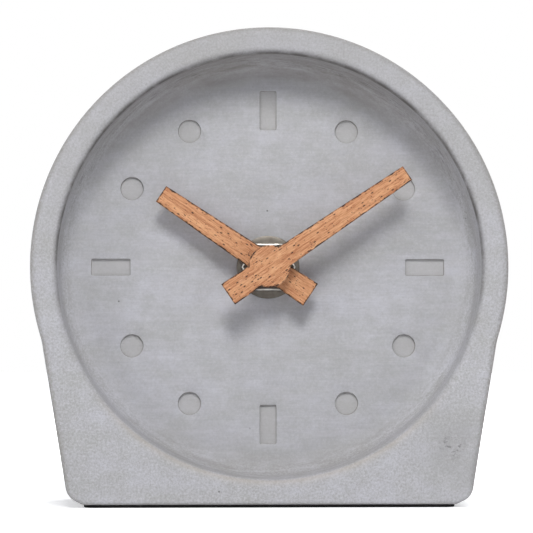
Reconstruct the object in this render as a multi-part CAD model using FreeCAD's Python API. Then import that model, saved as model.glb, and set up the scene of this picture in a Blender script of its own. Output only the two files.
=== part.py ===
import FreeCAD, Part
import math
import os

# Cast concrete table clock: a round top running into a flat, tapered foot, a coved
# round dial with sunken hour marks, two wooden hands and a quartz movement in a
# pocket at the back. Millimetres and degrees, Z up, the dial faces -Y.
# Every piece is drawn about the centre line of the dial and lifted by axis_height
# when it is written, so the origin lies under the middle of the base pad.

# Concrete case
case_radius = 60.0
rim_width = 6.6
under_rim = 6.2
shoulder_drop = 18.4
shoulder_blend_radius = 20.0
side_taper = 9.3
foot_slope = 27.0
foot_rise = 2.0
foot_corner_radius = 3.0
front_edge_round = 2.0
rear_margin = 7.0

# Dial recess
recess_depth = 14.0
wall_draft = 4.0
rim_round = 2.0
cove_radius = 6.0
dial_wall = 7.0
bush_hole_clearance = 0.2

# Cants that stand for an arc in the recess, and sides that stand for a round dot
rim_cants = 1
cove_cants = 2
dot_sides = 16

# Hour marks
mark_edge_gap = 1.8
mark_depth = 0.7
mark_count = 12
marks_per_quarter = 3
bar_width = 4.25
bar_length = 10.0
dot_diameter = 5.6

# Rear pocket, larger than the movement all round
pocket_margin = 3.0
pocket_corner_radius = 5.0

# Base pad
pad_thickness = 0.8
pad_inset = 0.2
pad_depth_inset = 1.5
pad_corner_radius = 3.0

# Coaxial stack, from the minute arbor outwards to the threaded bush and its nut
minute_arbor_diameter = 3.0
running_clearance = 0.08
hour_tube_wall = 0.84
bush_wall = 1.5
bush_proud = 0.3
nut_wall = 2.0
nut_thickness = 2.5
washer_diameter = 16.0
washer_thickness = 1.0
gasket_width = 24.0
gasket_thickness = 1.0

# Hands, both cut from one wooden sheet
hand_thickness = 1.2
hub_disc_diameter = 10.6
minute_past_marks = 1.4
minute_tail = 12.6
minute_tip_width = 3.8
minute_tail_width = 6.2
minute_angle = 55.9
hour_short_of_marks = 7.1
hour_tail = 12.7
hour_tip_width = 4.7
hour_tail_width = 6.7
hour_angle = -56.0

# Collars that carry the hands
collar_gap = 0.5
collar_wall = 0.6
hour_collar_step = 0.6
hour_tube_proud = 0.3
minute_collar_wall = 1.5
minute_collar_length = 1.8
blind_gap = 0.2

# Movement housing
shell_wall = 1.0
shell_corner_cant = 2.0
cover_thickness = 1.0
cover_gap = 0.1
pillar_width = 3.0
pin_width = 1.4
middle_plate_thickness = 1.0
plate_gap = 0.5
pillar_gap = 4.0

# Battery cell and its contacts
cell_diameter = 14.5
cell_length = 50.5
nub_diameter = 5.5
nub_length = 1.0
cell_clearance = 0.3
cell_rear_depth = 0.2
contact_thickness = 0.3
contact_gap = 0.25
contact_width = 10.5
contact_height = 10.0
contact_tail_width = 3.0
contact_foot_length = 3.0
spring_rise = 2.4
spring_width = 5.0

# Wheels: the tooth counts give 30 to 1, 60 to 1 and 12 to 1
rotor_leaves = 6
intermediate_teeth = 30
intermediate_leaves = 6
seconds_teeth = 36
seconds_leaves = 6
third_teeth = 45
third_leaves = 6
centre_teeth = 48
cannon_leaves = 8
works_teeth = 24
works_leaves = 6
hour_teeth = 24
setting_leaves = 8
train_module = 0.4
works_module = 0.45
axis_step = 0.3

# Tooth form, as shares of the module
addendum_share = 0.8
dedendum_share = 1.35

# Wheel planes along the depth, and the arbors
wheel_thickness = 0.8
wheel_gap = 0.8
pinion_overlap = 0.2
floor_gap = 0.5
seat_end_gap = 1.2
train_floor_gap = 0.3
arbor_diameter = 0.8
pivot_clearance = 0.06
pivot_length = 0.8
end_clearance = 0.1
stud_diameter = 1.0
setting_shaft_diameter = 2.0
knob_thickness = 2.5
knob_gap = 0.3
knob_cell_gap = 1.35
knob_flutes = 24
flute_depth = 0.5

# Directions between wheel axes, counter-clockwise from +X as seen from the front
third_direction = 125.0
intermediate_direction = 40.0
rotor_direction = 60.0
works_direction = 215.0
setting_direction = 180.0
pillar_directions = (10.0, 100.0, 320.0)

# Stepping motor
magnet_diameter = 4.5
magnet_thickness = 2.0
magnet_air_gap = 0.4
stator_web = 0.35
stator_thickness = 1.0
coil_length = 20.0
coil_leg_width = 3.0
core_thickness = 1.0
core_width = 3.0
bobbin_wall = 0.6
winding_depth = 1.4
flange_lip = 0.5
flange_thickness = 0.8
coil_gap = 0.5

# Circuit board on the side away from the motor
board_width = 9.8
board_thickness = 1.0
board_drop = 6.0
board_edge_gap = 0.2
chip_width = 4.0
chip_height = 1.0
crystal_diameter = 2.0
crystal_length = 6.0
chip_place_share = 0.35
crystal_place_share = 0.55

# One overrun for every cut, and the reach used when edges are picked by their place
overrun = 1.0
pick_reach = 0.01


def polar(distance, direction, start=(0.0, 0.0)):
    angle = math.radians(direction)
    return (start[0] + distance * math.cos(angle), start[1] + distance * math.sin(angle))


# Coaxial sizes: each tube is the next one's bore with its wall and clearance
hour_tube_bore = minute_arbor_diameter + 2 * running_clearance
hour_tube_diameter = hour_tube_bore + 2 * hour_tube_wall
hour_collar_diameter = hour_tube_diameter + 2 * collar_wall
minute_collar_diameter = minute_arbor_diameter + 2 * minute_collar_wall
bush_bore = hour_tube_diameter + 2 * running_clearance
bush_diameter = bush_bore + 2 * bush_wall
bush_hole_diameter = bush_diameter + 2 * bush_hole_clearance
nut_across_flats = bush_diameter + 2 * nut_wall
arbor_hole_diameter = minute_arbor_diameter + 2 * running_clearance
pivot_hole_diameter = arbor_diameter + 2 * pivot_clearance

# Wheel axes as (x, z) about the dial's centre line, and the wheels' outer radii
third_distance = train_module * (seconds_leaves + third_teeth) / 2
centre_module = 2 * third_distance / (third_leaves + centre_teeth)
intermediate_distance = third_distance + axis_step
motor_module = 2 * intermediate_distance / (intermediate_leaves + seconds_teeth)
motor_distance = motor_module * (rotor_leaves + intermediate_teeth) / 2
works_distance = works_module * (cannon_leaves + works_teeth) / 2
hour_module = 2 * works_distance / (works_leaves + hour_teeth)
setting_distance = works_module * (setting_leaves + works_teeth) / 2
centre_axis = (0.0, 0.0)
third_axis = polar(third_distance, third_direction)
intermediate_axis = polar(intermediate_distance, intermediate_direction)
rotor_axis = polar(motor_distance, rotor_direction, intermediate_axis)
works_axis = polar(works_distance, works_direction)
setting_axis = polar(setting_distance, setting_direction, works_axis)
centre_wheel_radius = centre_module * (centre_teeth / 2 + addendum_share)
works_wheel_radius = works_module * (works_teeth / 2 + addendum_share)
hour_wheel_radius = hour_module * (hour_teeth / 2 + addendum_share)

# Stations along the depth behind the dial, with the dial's face as the start
pocket_floor = dial_wall
shell_front = pocket_floor + gasket_thickness
floor = shell_front + shell_wall
level_pitch = wheel_thickness + wheel_gap
hour_level = floor + floor_gap
works_level = hour_level + level_pitch
plate_front = works_level + level_pitch
plate_back = plate_front + middle_plate_thickness
centre_level = plate_back + wheel_gap
third_level = centre_level + wheel_thickness + seat_end_gap
seconds_level = third_level + level_pitch
intermediate_level = seconds_level + level_pitch
boss_tip = intermediate_level + wheel_thickness + wheel_gap - pinion_overlap
arbor_end = boss_tip + pivot_length
boss_floor = arbor_end + end_clearance
shell_rear = max(floor + cell_clearance + cell_diameter + cell_rear_depth,
                 boss_floor + cover_thickness)
cover_seat = shell_rear - cover_thickness
case_depth = recess_depth + shell_rear + rear_margin

# Stations in front of the dial, as depths below zero
washer_front = -washer_thickness
nut_front = washer_front - nut_thickness
bush_tip = nut_front - bush_proud
hour_collar_back = bush_tip - collar_gap
hour_wood_back = hour_collar_back - hour_collar_step
hour_wood_front = hour_wood_back - hand_thickness
hour_tube_tip = hour_wood_front - hour_tube_proud
minute_collar_back = hour_tube_tip - collar_gap
minute_wood_back = minute_collar_back - minute_collar_length
minute_wood_front = minute_wood_back - hand_thickness

# Front and back of the case; the middle of its depth is the origin's plane
front_y = -case_depth / 2
rear_y = case_depth / 2
dial_y = front_y + recess_depth

# Dial and mark sizes
opening_radius = case_radius - rim_width
axis_height = opening_radius + under_rim + pad_thickness
bottom_z = pad_thickness - axis_height
floor_radius = opening_radius - recess_depth * math.tan(math.radians(wall_draft))
flat_radius = floor_radius - cove_radius * math.tan(math.radians((90 - wall_draft) / 2))
mark_circle_radius = flat_radius - mark_edge_gap - bar_length / 2
minute_reach = mark_circle_radius + minute_past_marks
hour_reach = mark_circle_radius - hour_short_of_marks

# Height of the housing: gear room above, battery bay below
coil_tube_width = core_width + 2 * bobbin_wall
winding_width = coil_tube_width + 2 * winding_depth
flange_width = winding_width + 2 * flange_lip
stator_top_z = rotor_axis[1] + magnet_diameter / 2 + magnet_air_gap + stator_web
stator_bottom_z = 2 * rotor_axis[1] - stator_top_z
coil_z = stator_top_z + coil_gap + flange_width / 2
inner_top_z = coil_z + flange_width / 2 + coil_gap
shell_top_z = inner_top_z + shell_wall
train_low_z = min(-centre_wheel_radius, works_axis[1] - works_wheel_radius)
bay_wall_top_z = train_low_z - train_floor_gap
bay_top_z = bay_wall_top_z - shell_wall
cell_z = bay_top_z - cell_clearance - cell_diameter / 2
bay_bottom_z = cell_z - cell_diameter / 2 - cell_clearance
shell_bottom_z = bay_bottom_z - shell_wall

# Width of the housing: the cell with its contacts, or the coil
coil_left_x = rotor_axis[0] - coil_length / 2
coil_right_x = rotor_axis[0] + coil_length / 2
stator_left_x = coil_left_x - coil_leg_width
stator_right_x = coil_right_x + coil_leg_width
positive_space = contact_thickness + contact_gap
cell_space = positive_space + cell_length + contact_gap + spring_rise + contact_thickness
inner_half_width = max(cell_space / 2, stator_right_x + coil_gap)
shell_half_width = inner_half_width + shell_wall
cell_right_x = inner_half_width - positive_space
cell_left_x = cell_right_x - cell_length
cell_depth = floor + cell_clearance + cell_diameter / 2

# Motor, board and middle plate
stator_back = plate_back + stator_thickness
core_back = stator_back + core_thickness
board_left_x = board_edge_gap - inner_half_width
board_right_x = board_left_x + board_width
board_x = (board_left_x + board_right_x) / 2
board_back = plate_back + board_thickness
board_top_z = inner_top_z - board_edge_gap
board_height = board_top_z + board_drop
plate_left_x = min(third_axis[0], works_axis[0]) - pillar_width
pillar_circle_radius = hour_wheel_radius + pillar_gap + pin_width
pillar_places = [polar(pillar_circle_radius, direction) for direction in pillar_directions]
board_pillar_places = [(board_x, pillar_width - board_drop), (board_x, board_top_z - pillar_width)]


# Forms. A depth counts from the dial's face, so the case's own faces turn to it here.

def block(x_range, depth_range, z_range):
    corner = FreeCAD.Vector(x_range[0], dial_y + depth_range[0], z_range[0])
    return Part.makeBox(x_range[1] - x_range[0], depth_range[1] - depth_range[0],
                        z_range[1] - z_range[0], corner)


def pillar(width, front, back, place):
    x_range = (place[0] - width / 2, place[0] + width / 2)
    z_range = (place[1] - width / 2, place[1] + width / 2)
    return block(x_range, (front, back), z_range)


def disc(diameter, front, back, axis=centre_axis):
    base = FreeCAD.Vector(axis[0], dial_y + front, axis[1])
    return Part.makeCylinder(diameter / 2, back - front, base, FreeCAD.Vector(0, 1, 0))


def ring(outer, inner, front, back, axis=centre_axis):
    return disc(outer, front, back, axis).cut(disc(inner, front - overrun, back + overrun, axis))


def prism(points, front, back):
    corners = [FreeCAD.Vector(x, dial_y + front, z) for x, z in points]
    face = Part.Face(Part.makePolygon(corners + corners[:1]))
    return face.extrude(FreeCAD.Vector(0, back - front, 0))


def joined(first, *others):
    return first.fuse(list(others)).removeSplitter()


def edges_along_depth(solid, places):
    """Edges that run front to back at one of the (x, z) places."""
    def lies_at(edge, place):
        return all(abs(vertex.X - place[0]) < pick_reach and abs(vertex.Z - place[1]) < pick_reach
                   for vertex in edge.Vertexes)
    return [edge for edge in solid.Edges if any(lies_at(edge, place) for place in places)]


def edges_in_plane(solid, y):
    return [edge for edge in solid.Edges
            if all(abs(vertex.Y - y) < pick_reach for vertex in edge.Vertexes)]


def eased_block(x_range, depth_range, z_range, radius=0.0, cant=0.0):
    """Block whose four edges along the depth are rounded, or else canted."""
    solid = block(x_range, depth_range, z_range)
    edges = edges_along_depth(solid, [(x, z) for x in x_range for z in z_range])
    return solid.makeFillet(radius, edges) if radius else solid.makeChamfer(cant, edges)


# Concrete case

def shoulder_arc():
    """Concave arc from the round top into the tapered side: start, middle and end."""
    taper = math.radians(side_taper)
    shoulder = FreeCAD.Vector(math.sqrt(case_radius ** 2 - shoulder_drop ** 2), 0, -shoulder_drop)
    down = FreeCAD.Vector(-math.sin(taper), 0, -math.cos(taper))
    outward = FreeCAD.Vector(math.cos(taper), 0, -math.sin(taper))
    lean = shoulder.dot(down)
    gap = 2 * shoulder_blend_radius * (case_radius - shoulder.dot(outward))
    end = shoulder + down * (math.sqrt(lean ** 2 + gap) - lean)
    centre = end + outward * shoulder_blend_radius
    start = centre * (case_radius / (case_radius + shoulder_blend_radius))
    middle = centre + ((start + end) / 2 - centre).normalize() * shoulder_blend_radius
    return start, middle, end


def foot_points(side_point):
    """Corner of the foot and edge of its underside, below a point on the side."""
    corner_z = bottom_z + foot_rise
    corner_x = side_point.x - math.tan(math.radians(side_taper)) * (side_point.z - corner_z)
    under_x = corner_x - foot_rise / math.tan(math.radians(foot_slope))
    return FreeCAD.Vector(corner_x, 0, corner_z), FreeCAD.Vector(under_x, 0, bottom_z)


def case_block():
    """Outline extruded over the depth, with its foot corners and its edges eased."""
    def mirrored(point):
        return FreeCAD.Vector(-point.x, point.y, point.z)
    start, middle, end = shoulder_arc()
    corner, under = foot_points(end)
    right = [end, corner, under]
    left = [mirrored(point) for point in reversed(right)]
    edges = Part.makePolygon(right + left).Edges
    edges.append(Part.Arc(mirrored(end), mirrored(middle), mirrored(start)).toShape())
    edges.append(Part.Arc(mirrored(start), FreeCAD.Vector(0, 0, case_radius), start).toShape())
    edges.append(Part.Arc(start, middle, end).toShape())
    face = Part.Face(Part.Wire(edges))
    face.translate(FreeCAD.Vector(0, front_y, 0))
    solid = face.extrude(FreeCAD.Vector(0, case_depth, 0))
    foot_corners = [(corner.x, corner.z), (-corner.x, corner.z)]
    solid = solid.makeFillet(foot_corner_radius, edges_along_depth(solid, foot_corners))
    front_cant = front_edge_round * (2 - math.sqrt(2))
    return solid.makeChamfer(front_cant, edges_in_plane(solid, front_y))


def cants(centre, radius, start, end, count):
    """Points on an arc of the (radius, y) profile, evenly spaced, both ends included."""
    turns = [math.radians(start + (end - start) * step / count) for step in range(count + 1)]
    return [(centre[0] + radius * math.cos(turn), centre[1] + radius * math.sin(turn)) for turn in turns]


def dial_recess():
    """Turned hollow: rounded rim, drafted wall, cove and flat dial."""
    lean = math.radians(wall_draft)
    rim_inset = rim_round * math.tan((math.pi / 2 - lean) / 2)
    rim_centre = (opening_radius + rim_inset, front_y + rim_round)
    rim = cants(rim_centre, rim_round, -90, -180 + wall_draft, rim_cants)
    cove_centre = (flat_radius, dial_y - cove_radius)
    cove = cants(cove_centre, cove_radius, wall_draft, 90, cove_cants)
    mouth = [(0, front_y - overrun), (rim[0][0], front_y - overrun)]
    points = [FreeCAD.Vector(radius, y, 0) for radius, y in mouth + rim + cove + [(0, dial_y)]]
    face = Part.Face(Part.makePolygon(points + points[:1]))
    return face.revolve(FreeCAD.Vector(0, 0, 0), FreeCAD.Vector(0, 1, 0), 360)


def hour_marks():
    """Bars at the quarters and dots at the other hours, drawn as what they take away."""
    depth_range = (-overrun, mark_depth)
    bar = block((-bar_width / 2, bar_width / 2), depth_range,
                (mark_circle_radius - bar_length / 2, mark_circle_radius + bar_length / 2))
    dot_points = [polar(dot_diameter / 2, 360 * side / dot_sides, (0.0, mark_circle_radius))
                  for side in range(dot_sides)]
    dot = prism(dot_points, *depth_range)
    marks = []
    for hour in range(mark_count):
        mark = (dot if hour % marks_per_quarter else bar).copy()
        mark.rotate(FreeCAD.Vector(0, 0, 0), FreeCAD.Vector(0, 1, 0), 360 * hour / mark_count)
        marks.append(mark)
    return marks


def case_body():
    pocket_x = shell_half_width + pocket_margin
    pocket = eased_block((-pocket_x, pocket_x), (pocket_floor, rear_y - dial_y + overrun),
                         (shell_bottom_z - pocket_margin, shell_top_z + pocket_margin),
                         radius=pocket_corner_radius)
    bush_hole = disc(bush_hole_diameter, -overrun, pocket_floor + overrun)
    return case_block().cut([dial_recess(), pocket, bush_hole] + hour_marks())


def base_pad():
    half_width = foot_points(shoulder_arc()[2])[1].x - pad_inset
    depth = case_depth / 2 - pad_depth_inset
    pad = block((-half_width, half_width), (-depth - dial_y, depth - dial_y), (-axis_height, bottom_z))
    upright = [edge for edge in pad.Edges
               if abs(edge.Vertexes[0].Z - edge.Vertexes[-1].Z) > pick_reach]
    return pad.makeFillet(pad_corner_radius, upright)


# Dial fixing: the case wall is clamped between gasket and washer

def rubber_gasket():
    half = gasket_width / 2
    pad = block((-half, half), (pocket_floor, shell_front), (-half, half))
    return pad.cut(disc(bush_hole_diameter, pocket_floor - overrun, shell_front + overrun))


def dial_washer():
    return ring(washer_diameter, bush_hole_diameter, washer_front, 0.0)


def hex_nut():
    corner_radius = nut_across_flats / 2 / math.cos(math.radians(30))
    flats = prism([polar(corner_radius, 60 * corner) for corner in range(6)], nut_front, washer_front)
    return flats.cut(disc(bush_diameter, nut_front - overrun, washer_front + overrun))


def threaded_bush():
    return ring(bush_diameter, bush_bore, bush_tip, floor)


# Hands

def hand_blade(reach, tail, tip_width, tail_width, front, back):
    outline = [(-tail_width / 2, -tail), (tail_width / 2, -tail),
               (tip_width / 2, reach), (-tip_width / 2, reach)]
    return joined(prism(outline, front, back), disc(hub_disc_diameter, front, back))


def pointed(blade, angle):
    blade.rotate(FreeCAD.Vector(0, 0, 0), FreeCAD.Vector(0, 1, 0), angle)
    return blade


def minute_hand():
    blade = hand_blade(minute_reach, minute_tail, minute_tip_width, minute_tail_width,
                       minute_wood_front, minute_wood_back)
    return pointed(blade, minute_angle)


def hour_hand():
    blade = hand_blade(hour_reach, hour_tail, hour_tip_width, hour_tail_width,
                       hour_wood_front, hour_wood_back)
    collar_hole = disc(hour_collar_diameter, hour_wood_front - overrun, hour_wood_back + overrun)
    return pointed(blade.cut(collar_hole), hour_angle)


def minute_hand_bush():
    return ring(minute_collar_diameter, minute_arbor_diameter, minute_wood_back, minute_collar_back)


def hour_hand_bush():
    return ring(hour_collar_diameter, hour_tube_diameter, hour_wood_front, hour_collar_back)


# Wheel work

def serrated(count, tip_radius, root_radius, phase, axis, front, back):
    """Prism with pointed teeth all round; phase is the direction of one tip."""
    points = []
    for tooth in range(count):
        line = phase + 360 * tooth / count
        points.append(polar(tip_radius, line, axis))
        points.append(polar(root_radius, line + 180 / count, axis))
    return prism(points, front, back)


def toothed(teeth, module, phase, axis, front, back):
    tip_radius = module * (teeth / 2 + addendum_share)
    root_radius = module * (teeth / 2 - dedendum_share)
    return serrated(teeth, tip_radius, root_radius, phase, axis, front, back)


def wheel(teeth, module, phase, axis, front):
    return toothed(teeth, module, phase, axis, front, front + wheel_thickness)


def mesh_phase(phase, teeth, direction, other_teeth):
    """Phase of the other wheel, so that its gap meets the tooth of this one."""
    past_line = (phase - direction) * teeth / other_teeth
    return direction + 180 - past_line + 180 / other_teeth


def train_arbor(axis):
    """Straight arbor from the middle plate into the blind boss of the rear cover."""
    return disc(arbor_diameter, plate_front, arbor_end, axis)


# Going train: rotor, intermediate wheel, seconds wheel, third wheel, centre wheel.
# The first wheel of each mesh stands at phase zero and the next is turned to fit.
intermediate_pinion_phase = mesh_phase(0, seconds_teeth, intermediate_direction, intermediate_leaves)
rotor_phase = mesh_phase(0, intermediate_teeth, rotor_direction, rotor_leaves)
third_phase = mesh_phase(0, seconds_leaves, third_direction, third_teeth)
third_pinion_phase = mesh_phase(0, centre_teeth, third_direction, third_leaves)

# The minute arbor's back end lies between the centre wheel and the seconds pinion
arbor_back = third_level - pinion_overlap - 2 * end_clearance
arbor_bore_floor = centre_level - end_clearance


def rotor_pinion():
    leaves = toothed(rotor_leaves, motor_module, rotor_phase, rotor_axis,
                     intermediate_level - pinion_overlap,
                     intermediate_level + wheel_thickness + pinion_overlap)
    return joined(leaves, train_arbor(rotor_axis))


def rotor_magnet():
    front = plate_back + magnet_air_gap
    return ring(magnet_diameter, arbor_diameter, front, front + magnet_thickness, rotor_axis)


def intermediate_wheel():
    teeth = wheel(intermediate_teeth, motor_module, 0, intermediate_axis, intermediate_level)
    leaves = toothed(intermediate_leaves, motor_module, intermediate_pinion_phase,
                     intermediate_axis, seconds_level - pinion_overlap, intermediate_level)
    return joined(teeth, leaves, train_arbor(intermediate_axis))


def seconds_wheel():
    """Turns on the centre line; its front pivot runs in the back of the minute arbor."""
    teeth = wheel(seconds_teeth, motor_module, 0, centre_axis, seconds_level)
    leaves = toothed(seconds_leaves, train_module, 0, centre_axis,
                     third_level - pinion_overlap, seconds_level)
    return joined(teeth, leaves, disc(arbor_diameter, centre_level, arbor_end))


def third_wheel():
    teeth = wheel(third_teeth, train_module, third_phase, third_axis, third_level)
    leaves = toothed(third_leaves, centre_module, third_pinion_phase, third_axis,
                     centre_level - pinion_overlap, third_level)
    return joined(teeth, leaves, train_arbor(third_axis))


def centre_wheel():
    """Friction wheel on the minute arbor, which slips when the hands are set."""
    teeth = wheel(centre_teeth, centre_module, 0, centre_axis, centre_level)
    return teeth.cut(disc(arbor_hole_diameter, centre_level - overrun, third_level))


# Motion work: the minute works wheel stands at phase zero, the rest is turned to fit
cannon_phase = mesh_phase(0, works_teeth, works_direction + 180, cannon_leaves)
setting_phase = mesh_phase(0, works_teeth, setting_direction, setting_leaves)
hour_phase = mesh_phase(0, works_leaves, works_direction + 180, hour_teeth)
cannon_front = works_level - pinion_overlap
cannon_back = works_level + wheel_thickness + pinion_overlap


def minute_arbor():
    """Arbor through the hour tube, with the cannon pinion's leaves standing on it."""
    leaves = toothed(cannon_leaves, works_module, cannon_phase, centre_axis, cannon_front, cannon_back)
    arbor = joined(disc(minute_arbor_diameter, minute_wood_back + blind_gap, arbor_back), leaves)
    return arbor.cut(disc(pivot_hole_diameter, arbor_bore_floor, arbor_back + overrun))


def minute_works_wheel():
    teeth = wheel(works_teeth, works_module, 0, works_axis, works_level)
    leaves = toothed(works_leaves, hour_module, 0, works_axis, hour_level - pinion_overlap, works_level)
    bore = disc(stud_diameter + 2 * running_clearance, floor, plate_front, works_axis)
    return joined(teeth, leaves).cut(bore)


def hour_wheel():
    teeth = wheel(hour_teeth, hour_module, hour_phase, centre_axis, hour_level)
    tube = disc(hour_tube_diameter, hour_tube_tip, hour_level)
    bore = disc(hour_tube_bore, hour_tube_tip - overrun, hour_level + wheel_thickness + overrun)
    return joined(teeth, tube).cut(bore)


def setting_wheel():
    """Setting pinion, shaft and the serrated knob behind the cover, moulded in one."""
    leaves = toothed(setting_leaves, works_module, setting_phase, setting_axis, cannon_front, cannon_back)
    knob_front = shell_rear + knob_gap
    cell_top_z = cell_z + cell_diameter / 2
    knob_radius = setting_axis[1] - cell_top_z - knob_cell_gap
    knob = serrated(knob_flutes, knob_radius, knob_radius - flute_depth, 0, setting_axis,
                    knob_front, knob_front + knob_thickness)
    shaft = disc(setting_shaft_diameter, cannon_back, knob_front, setting_axis)
    pivot = disc(arbor_diameter, cannon_front - pivot_length, cannon_front, setting_axis)
    return joined(leaves, pivot, shaft, knob)


# Movement housing

def contact_slot(x_range, depth_range):
    margin = cover_gap
    return block((x_range[0] - margin, x_range[1] + margin),
                 (depth_range[0] - margin, depth_range[1] + margin),
                 (bay_top_z - overrun, bay_wall_top_z + overrun))


def movement_front_shell():
    """Box that is open at the back, with a gear room above and a battery bay below."""
    behind = shell_rear + overrun
    inner_x = (-inner_half_width, inner_half_width)
    past_x = (-shell_half_width - overrun, shell_half_width + overrun)
    shell = eased_block((-shell_half_width, shell_half_width), (shell_front, shell_rear),
                        (shell_bottom_z, shell_top_z), cant=shell_corner_cant)
    gear_room = block(inner_x, (floor, behind), (bay_wall_top_z, inner_top_z))
    battery_bay = block(inner_x, (floor, behind), (bay_bottom_z, bay_top_z))
    cover_rebate = block(past_x, (cover_seat, behind), (bay_wall_top_z, shell_top_z + overrun))
    bush_hole = disc(bush_diameter, shell_front - overrun, floor + overrun)
    slots = [contact_slot(negative_wall_x, negative_tail), contact_slot(positive_wall_x, positive_tail)]
    slots = [slot.common(block(inner_x, (floor, behind), (bay_bottom_z, inner_top_z))) for slot in slots]
    shell = shell.cut([gear_room, battery_bay, cover_rebate, bush_hole] + slots)
    pillars = [pillar(pillar_width, floor, plate_front, place) for place in pillar_places]
    pillars += [pillar(pin_width, plate_front, plate_back, place) for place in pillar_places]
    pillars += [pillar(pillar_width, floor, plate_back, place) for place in board_pillar_places]
    stud = disc(stud_diameter, floor, plate_front, works_axis)
    setting_boss_back = cannon_front - end_clearance
    setting_boss = pillar(pillar_width, floor, setting_boss_back, setting_axis)
    setting_hole = disc(pivot_hole_diameter, cannon_front - pivot_length - end_clearance,
                        setting_boss_back + overrun, setting_axis)
    return joined(shell, stud, setting_boss, *pillars).cut(setting_hole)


def middle_plate():
    """Plate between motion work and going train, seated on three pillars and the stud."""
    plate = block((plate_left_x, stator_right_x), (plate_front, plate_back),
                  (bay_wall_top_z + plate_gap, stator_top_z))
    through = (plate_front - overrun, plate_back + overrun)
    holes = [disc(arbor_hole_diameter, *through)]
    holes += [pillar(pin_width, *through, place) for place in pillar_places]
    holes += [disc(pivot_hole_diameter, *through, axis)
              for axis in (third_axis, intermediate_axis, rotor_axis)]
    return plate.cut(holes)


def rear_cover():
    """Lid over the gear room, with a blind bearing boss for each arbor of the train."""
    cover = eased_block((-shell_half_width, shell_half_width), (cover_seat, shell_rear),
                        (shell_bottom_z, shell_top_z), cant=shell_corner_cant)
    past_x = (-shell_half_width - overrun, shell_half_width + overrun)
    below = block(past_x, (cover_seat - overrun, shell_rear + overrun),
                  (shell_bottom_z - overrun, bay_wall_top_z + cover_gap))
    axes = (centre_axis, third_axis, intermediate_axis, rotor_axis)
    bosses = [pillar(pillar_width, boss_tip, cover_seat, axis) for axis in axes]
    pivot_holes = [disc(pivot_hole_diameter, boss_tip - overrun, boss_floor, axis) for axis in axes]
    knob_hole = disc(setting_shaft_diameter + 2 * running_clearance, cover_seat - overrun,
                     shell_rear + overrun, setting_axis)
    return joined(cover.cut(below), *bosses).cut(pivot_holes + [knob_hole])


# Stepping motor and circuit

def stator_plate():
    """Soft iron bar with the rotor hole, and a leg up to each end of the coil core."""
    depth_range = (plate_back, stator_back)
    bar = block((stator_left_x, stator_right_x), depth_range, (stator_bottom_z, stator_top_z))
    legs = [block((x, x + coil_leg_width), depth_range, (stator_top_z, coil_z + core_width / 2))
            for x in (stator_left_x, coil_right_x)]
    hole = disc(magnet_diameter + 2 * magnet_air_gap, plate_back - overrun, stator_back + overrun,
                rotor_axis)
    return joined(bar, *legs).cut(hole)


def across_coil(width, x_range, depth_width=None):
    """Block along the coil, square or of another width along the depth."""
    middle = (stator_back + core_back) / 2
    half_depth = (width if depth_width is None else depth_width) / 2
    return block(x_range, (middle - half_depth, middle + half_depth),
                 (coil_z - width / 2, coil_z + width / 2))


def coil_core():
    return across_coil(core_width, (stator_left_x, stator_right_x), core_thickness)


def coil_bobbin():
    tube = across_coil(coil_tube_width, (coil_left_x, coil_right_x))
    flanges = [across_coil(flange_width, (x, x + flange_thickness))
               for x in (coil_left_x, coil_right_x - flange_thickness)]
    return joined(tube, *flanges).cut(coil_core())


def coil_winding():
    x_range = (coil_left_x + flange_thickness, coil_right_x - flange_thickness)
    return across_coil(winding_width, x_range).cut(across_coil(coil_tube_width, x_range))


def circuit_board():
    return block((board_left_x, board_right_x), (plate_back, board_back), (-board_drop, board_top_z))


def timing_chip():
    place = (board_x, board_height * chip_place_share - board_drop)
    return pillar(chip_width, board_back, board_back + chip_height, place)


def quartz_crystal():
    base = FreeCAD.Vector(board_x, dial_y + board_back + crystal_diameter / 2,
                          board_height * crystal_place_share - board_drop)
    return Part.makeCylinder(crystal_diameter / 2, crystal_length, base, FreeCAD.Vector(0, 0, 1))


# Battery and contacts: leaves at both ends of the bay, tails through its upper wall
negative_wall_x = (-inner_half_width, contact_thickness - inner_half_width)
positive_wall_x = (inner_half_width - contact_thickness, inner_half_width)
negative_tail = (board_back, board_back + contact_tail_width)
positive_tail = (cover_seat - contact_thickness - contact_tail_width, cover_seat - contact_thickness)
tail_end_z = contact_foot_length - board_drop


def contact_leaf(x_range):
    depth_range = (cell_depth - contact_width / 2, cell_depth + contact_width / 2)
    return block(x_range, depth_range, (cell_z - contact_height / 2, cell_z + contact_height / 2))


def negative_contact():
    """Leaf with a bent spring for the flat end of the cell, and a tail to the board."""
    tail = block(negative_wall_x, negative_tail, (cell_z, tail_end_z))
    foot = block((-inner_half_width, board_left_x + contact_foot_length),
                 (board_back, board_back + contact_thickness), (-board_drop, tail_end_z))
    rise = cell_left_x - contact_gap
    half = contact_width / 2
    wall = negative_wall_x[1]
    bend = [(wall, -half), (rise, 0), (wall, half), (wall, half - contact_thickness),
            (rise - contact_thickness, 0), (wall, contact_thickness - half)]
    low_z = cell_z - spring_width / 2
    corners = [FreeCAD.Vector(x, dial_y + cell_depth + depth, low_z) for x, depth in bend]
    face = Part.Face(Part.makePolygon(corners + corners[:1]))
    spring = face.extrude(FreeCAD.Vector(0, 0, spring_width))
    return joined(contact_leaf(negative_wall_x), tail, foot, spring)


def positive_contact():
    """Leaf behind the cell's nub, and a strip along the bay wall to the board."""
    run_z = (bay_wall_top_z, bay_wall_top_z + contact_thickness)
    riser = block(positive_wall_x, positive_tail, (cell_z, run_z[1]))
    run = block((board_x, inner_half_width), positive_tail, run_z)
    tab = block((board_x, board_x + contact_thickness), (board_back, positive_tail[1]),
                (bay_wall_top_z, tail_end_z))
    return joined(contact_leaf(positive_wall_x), riser, run, tab)


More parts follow.
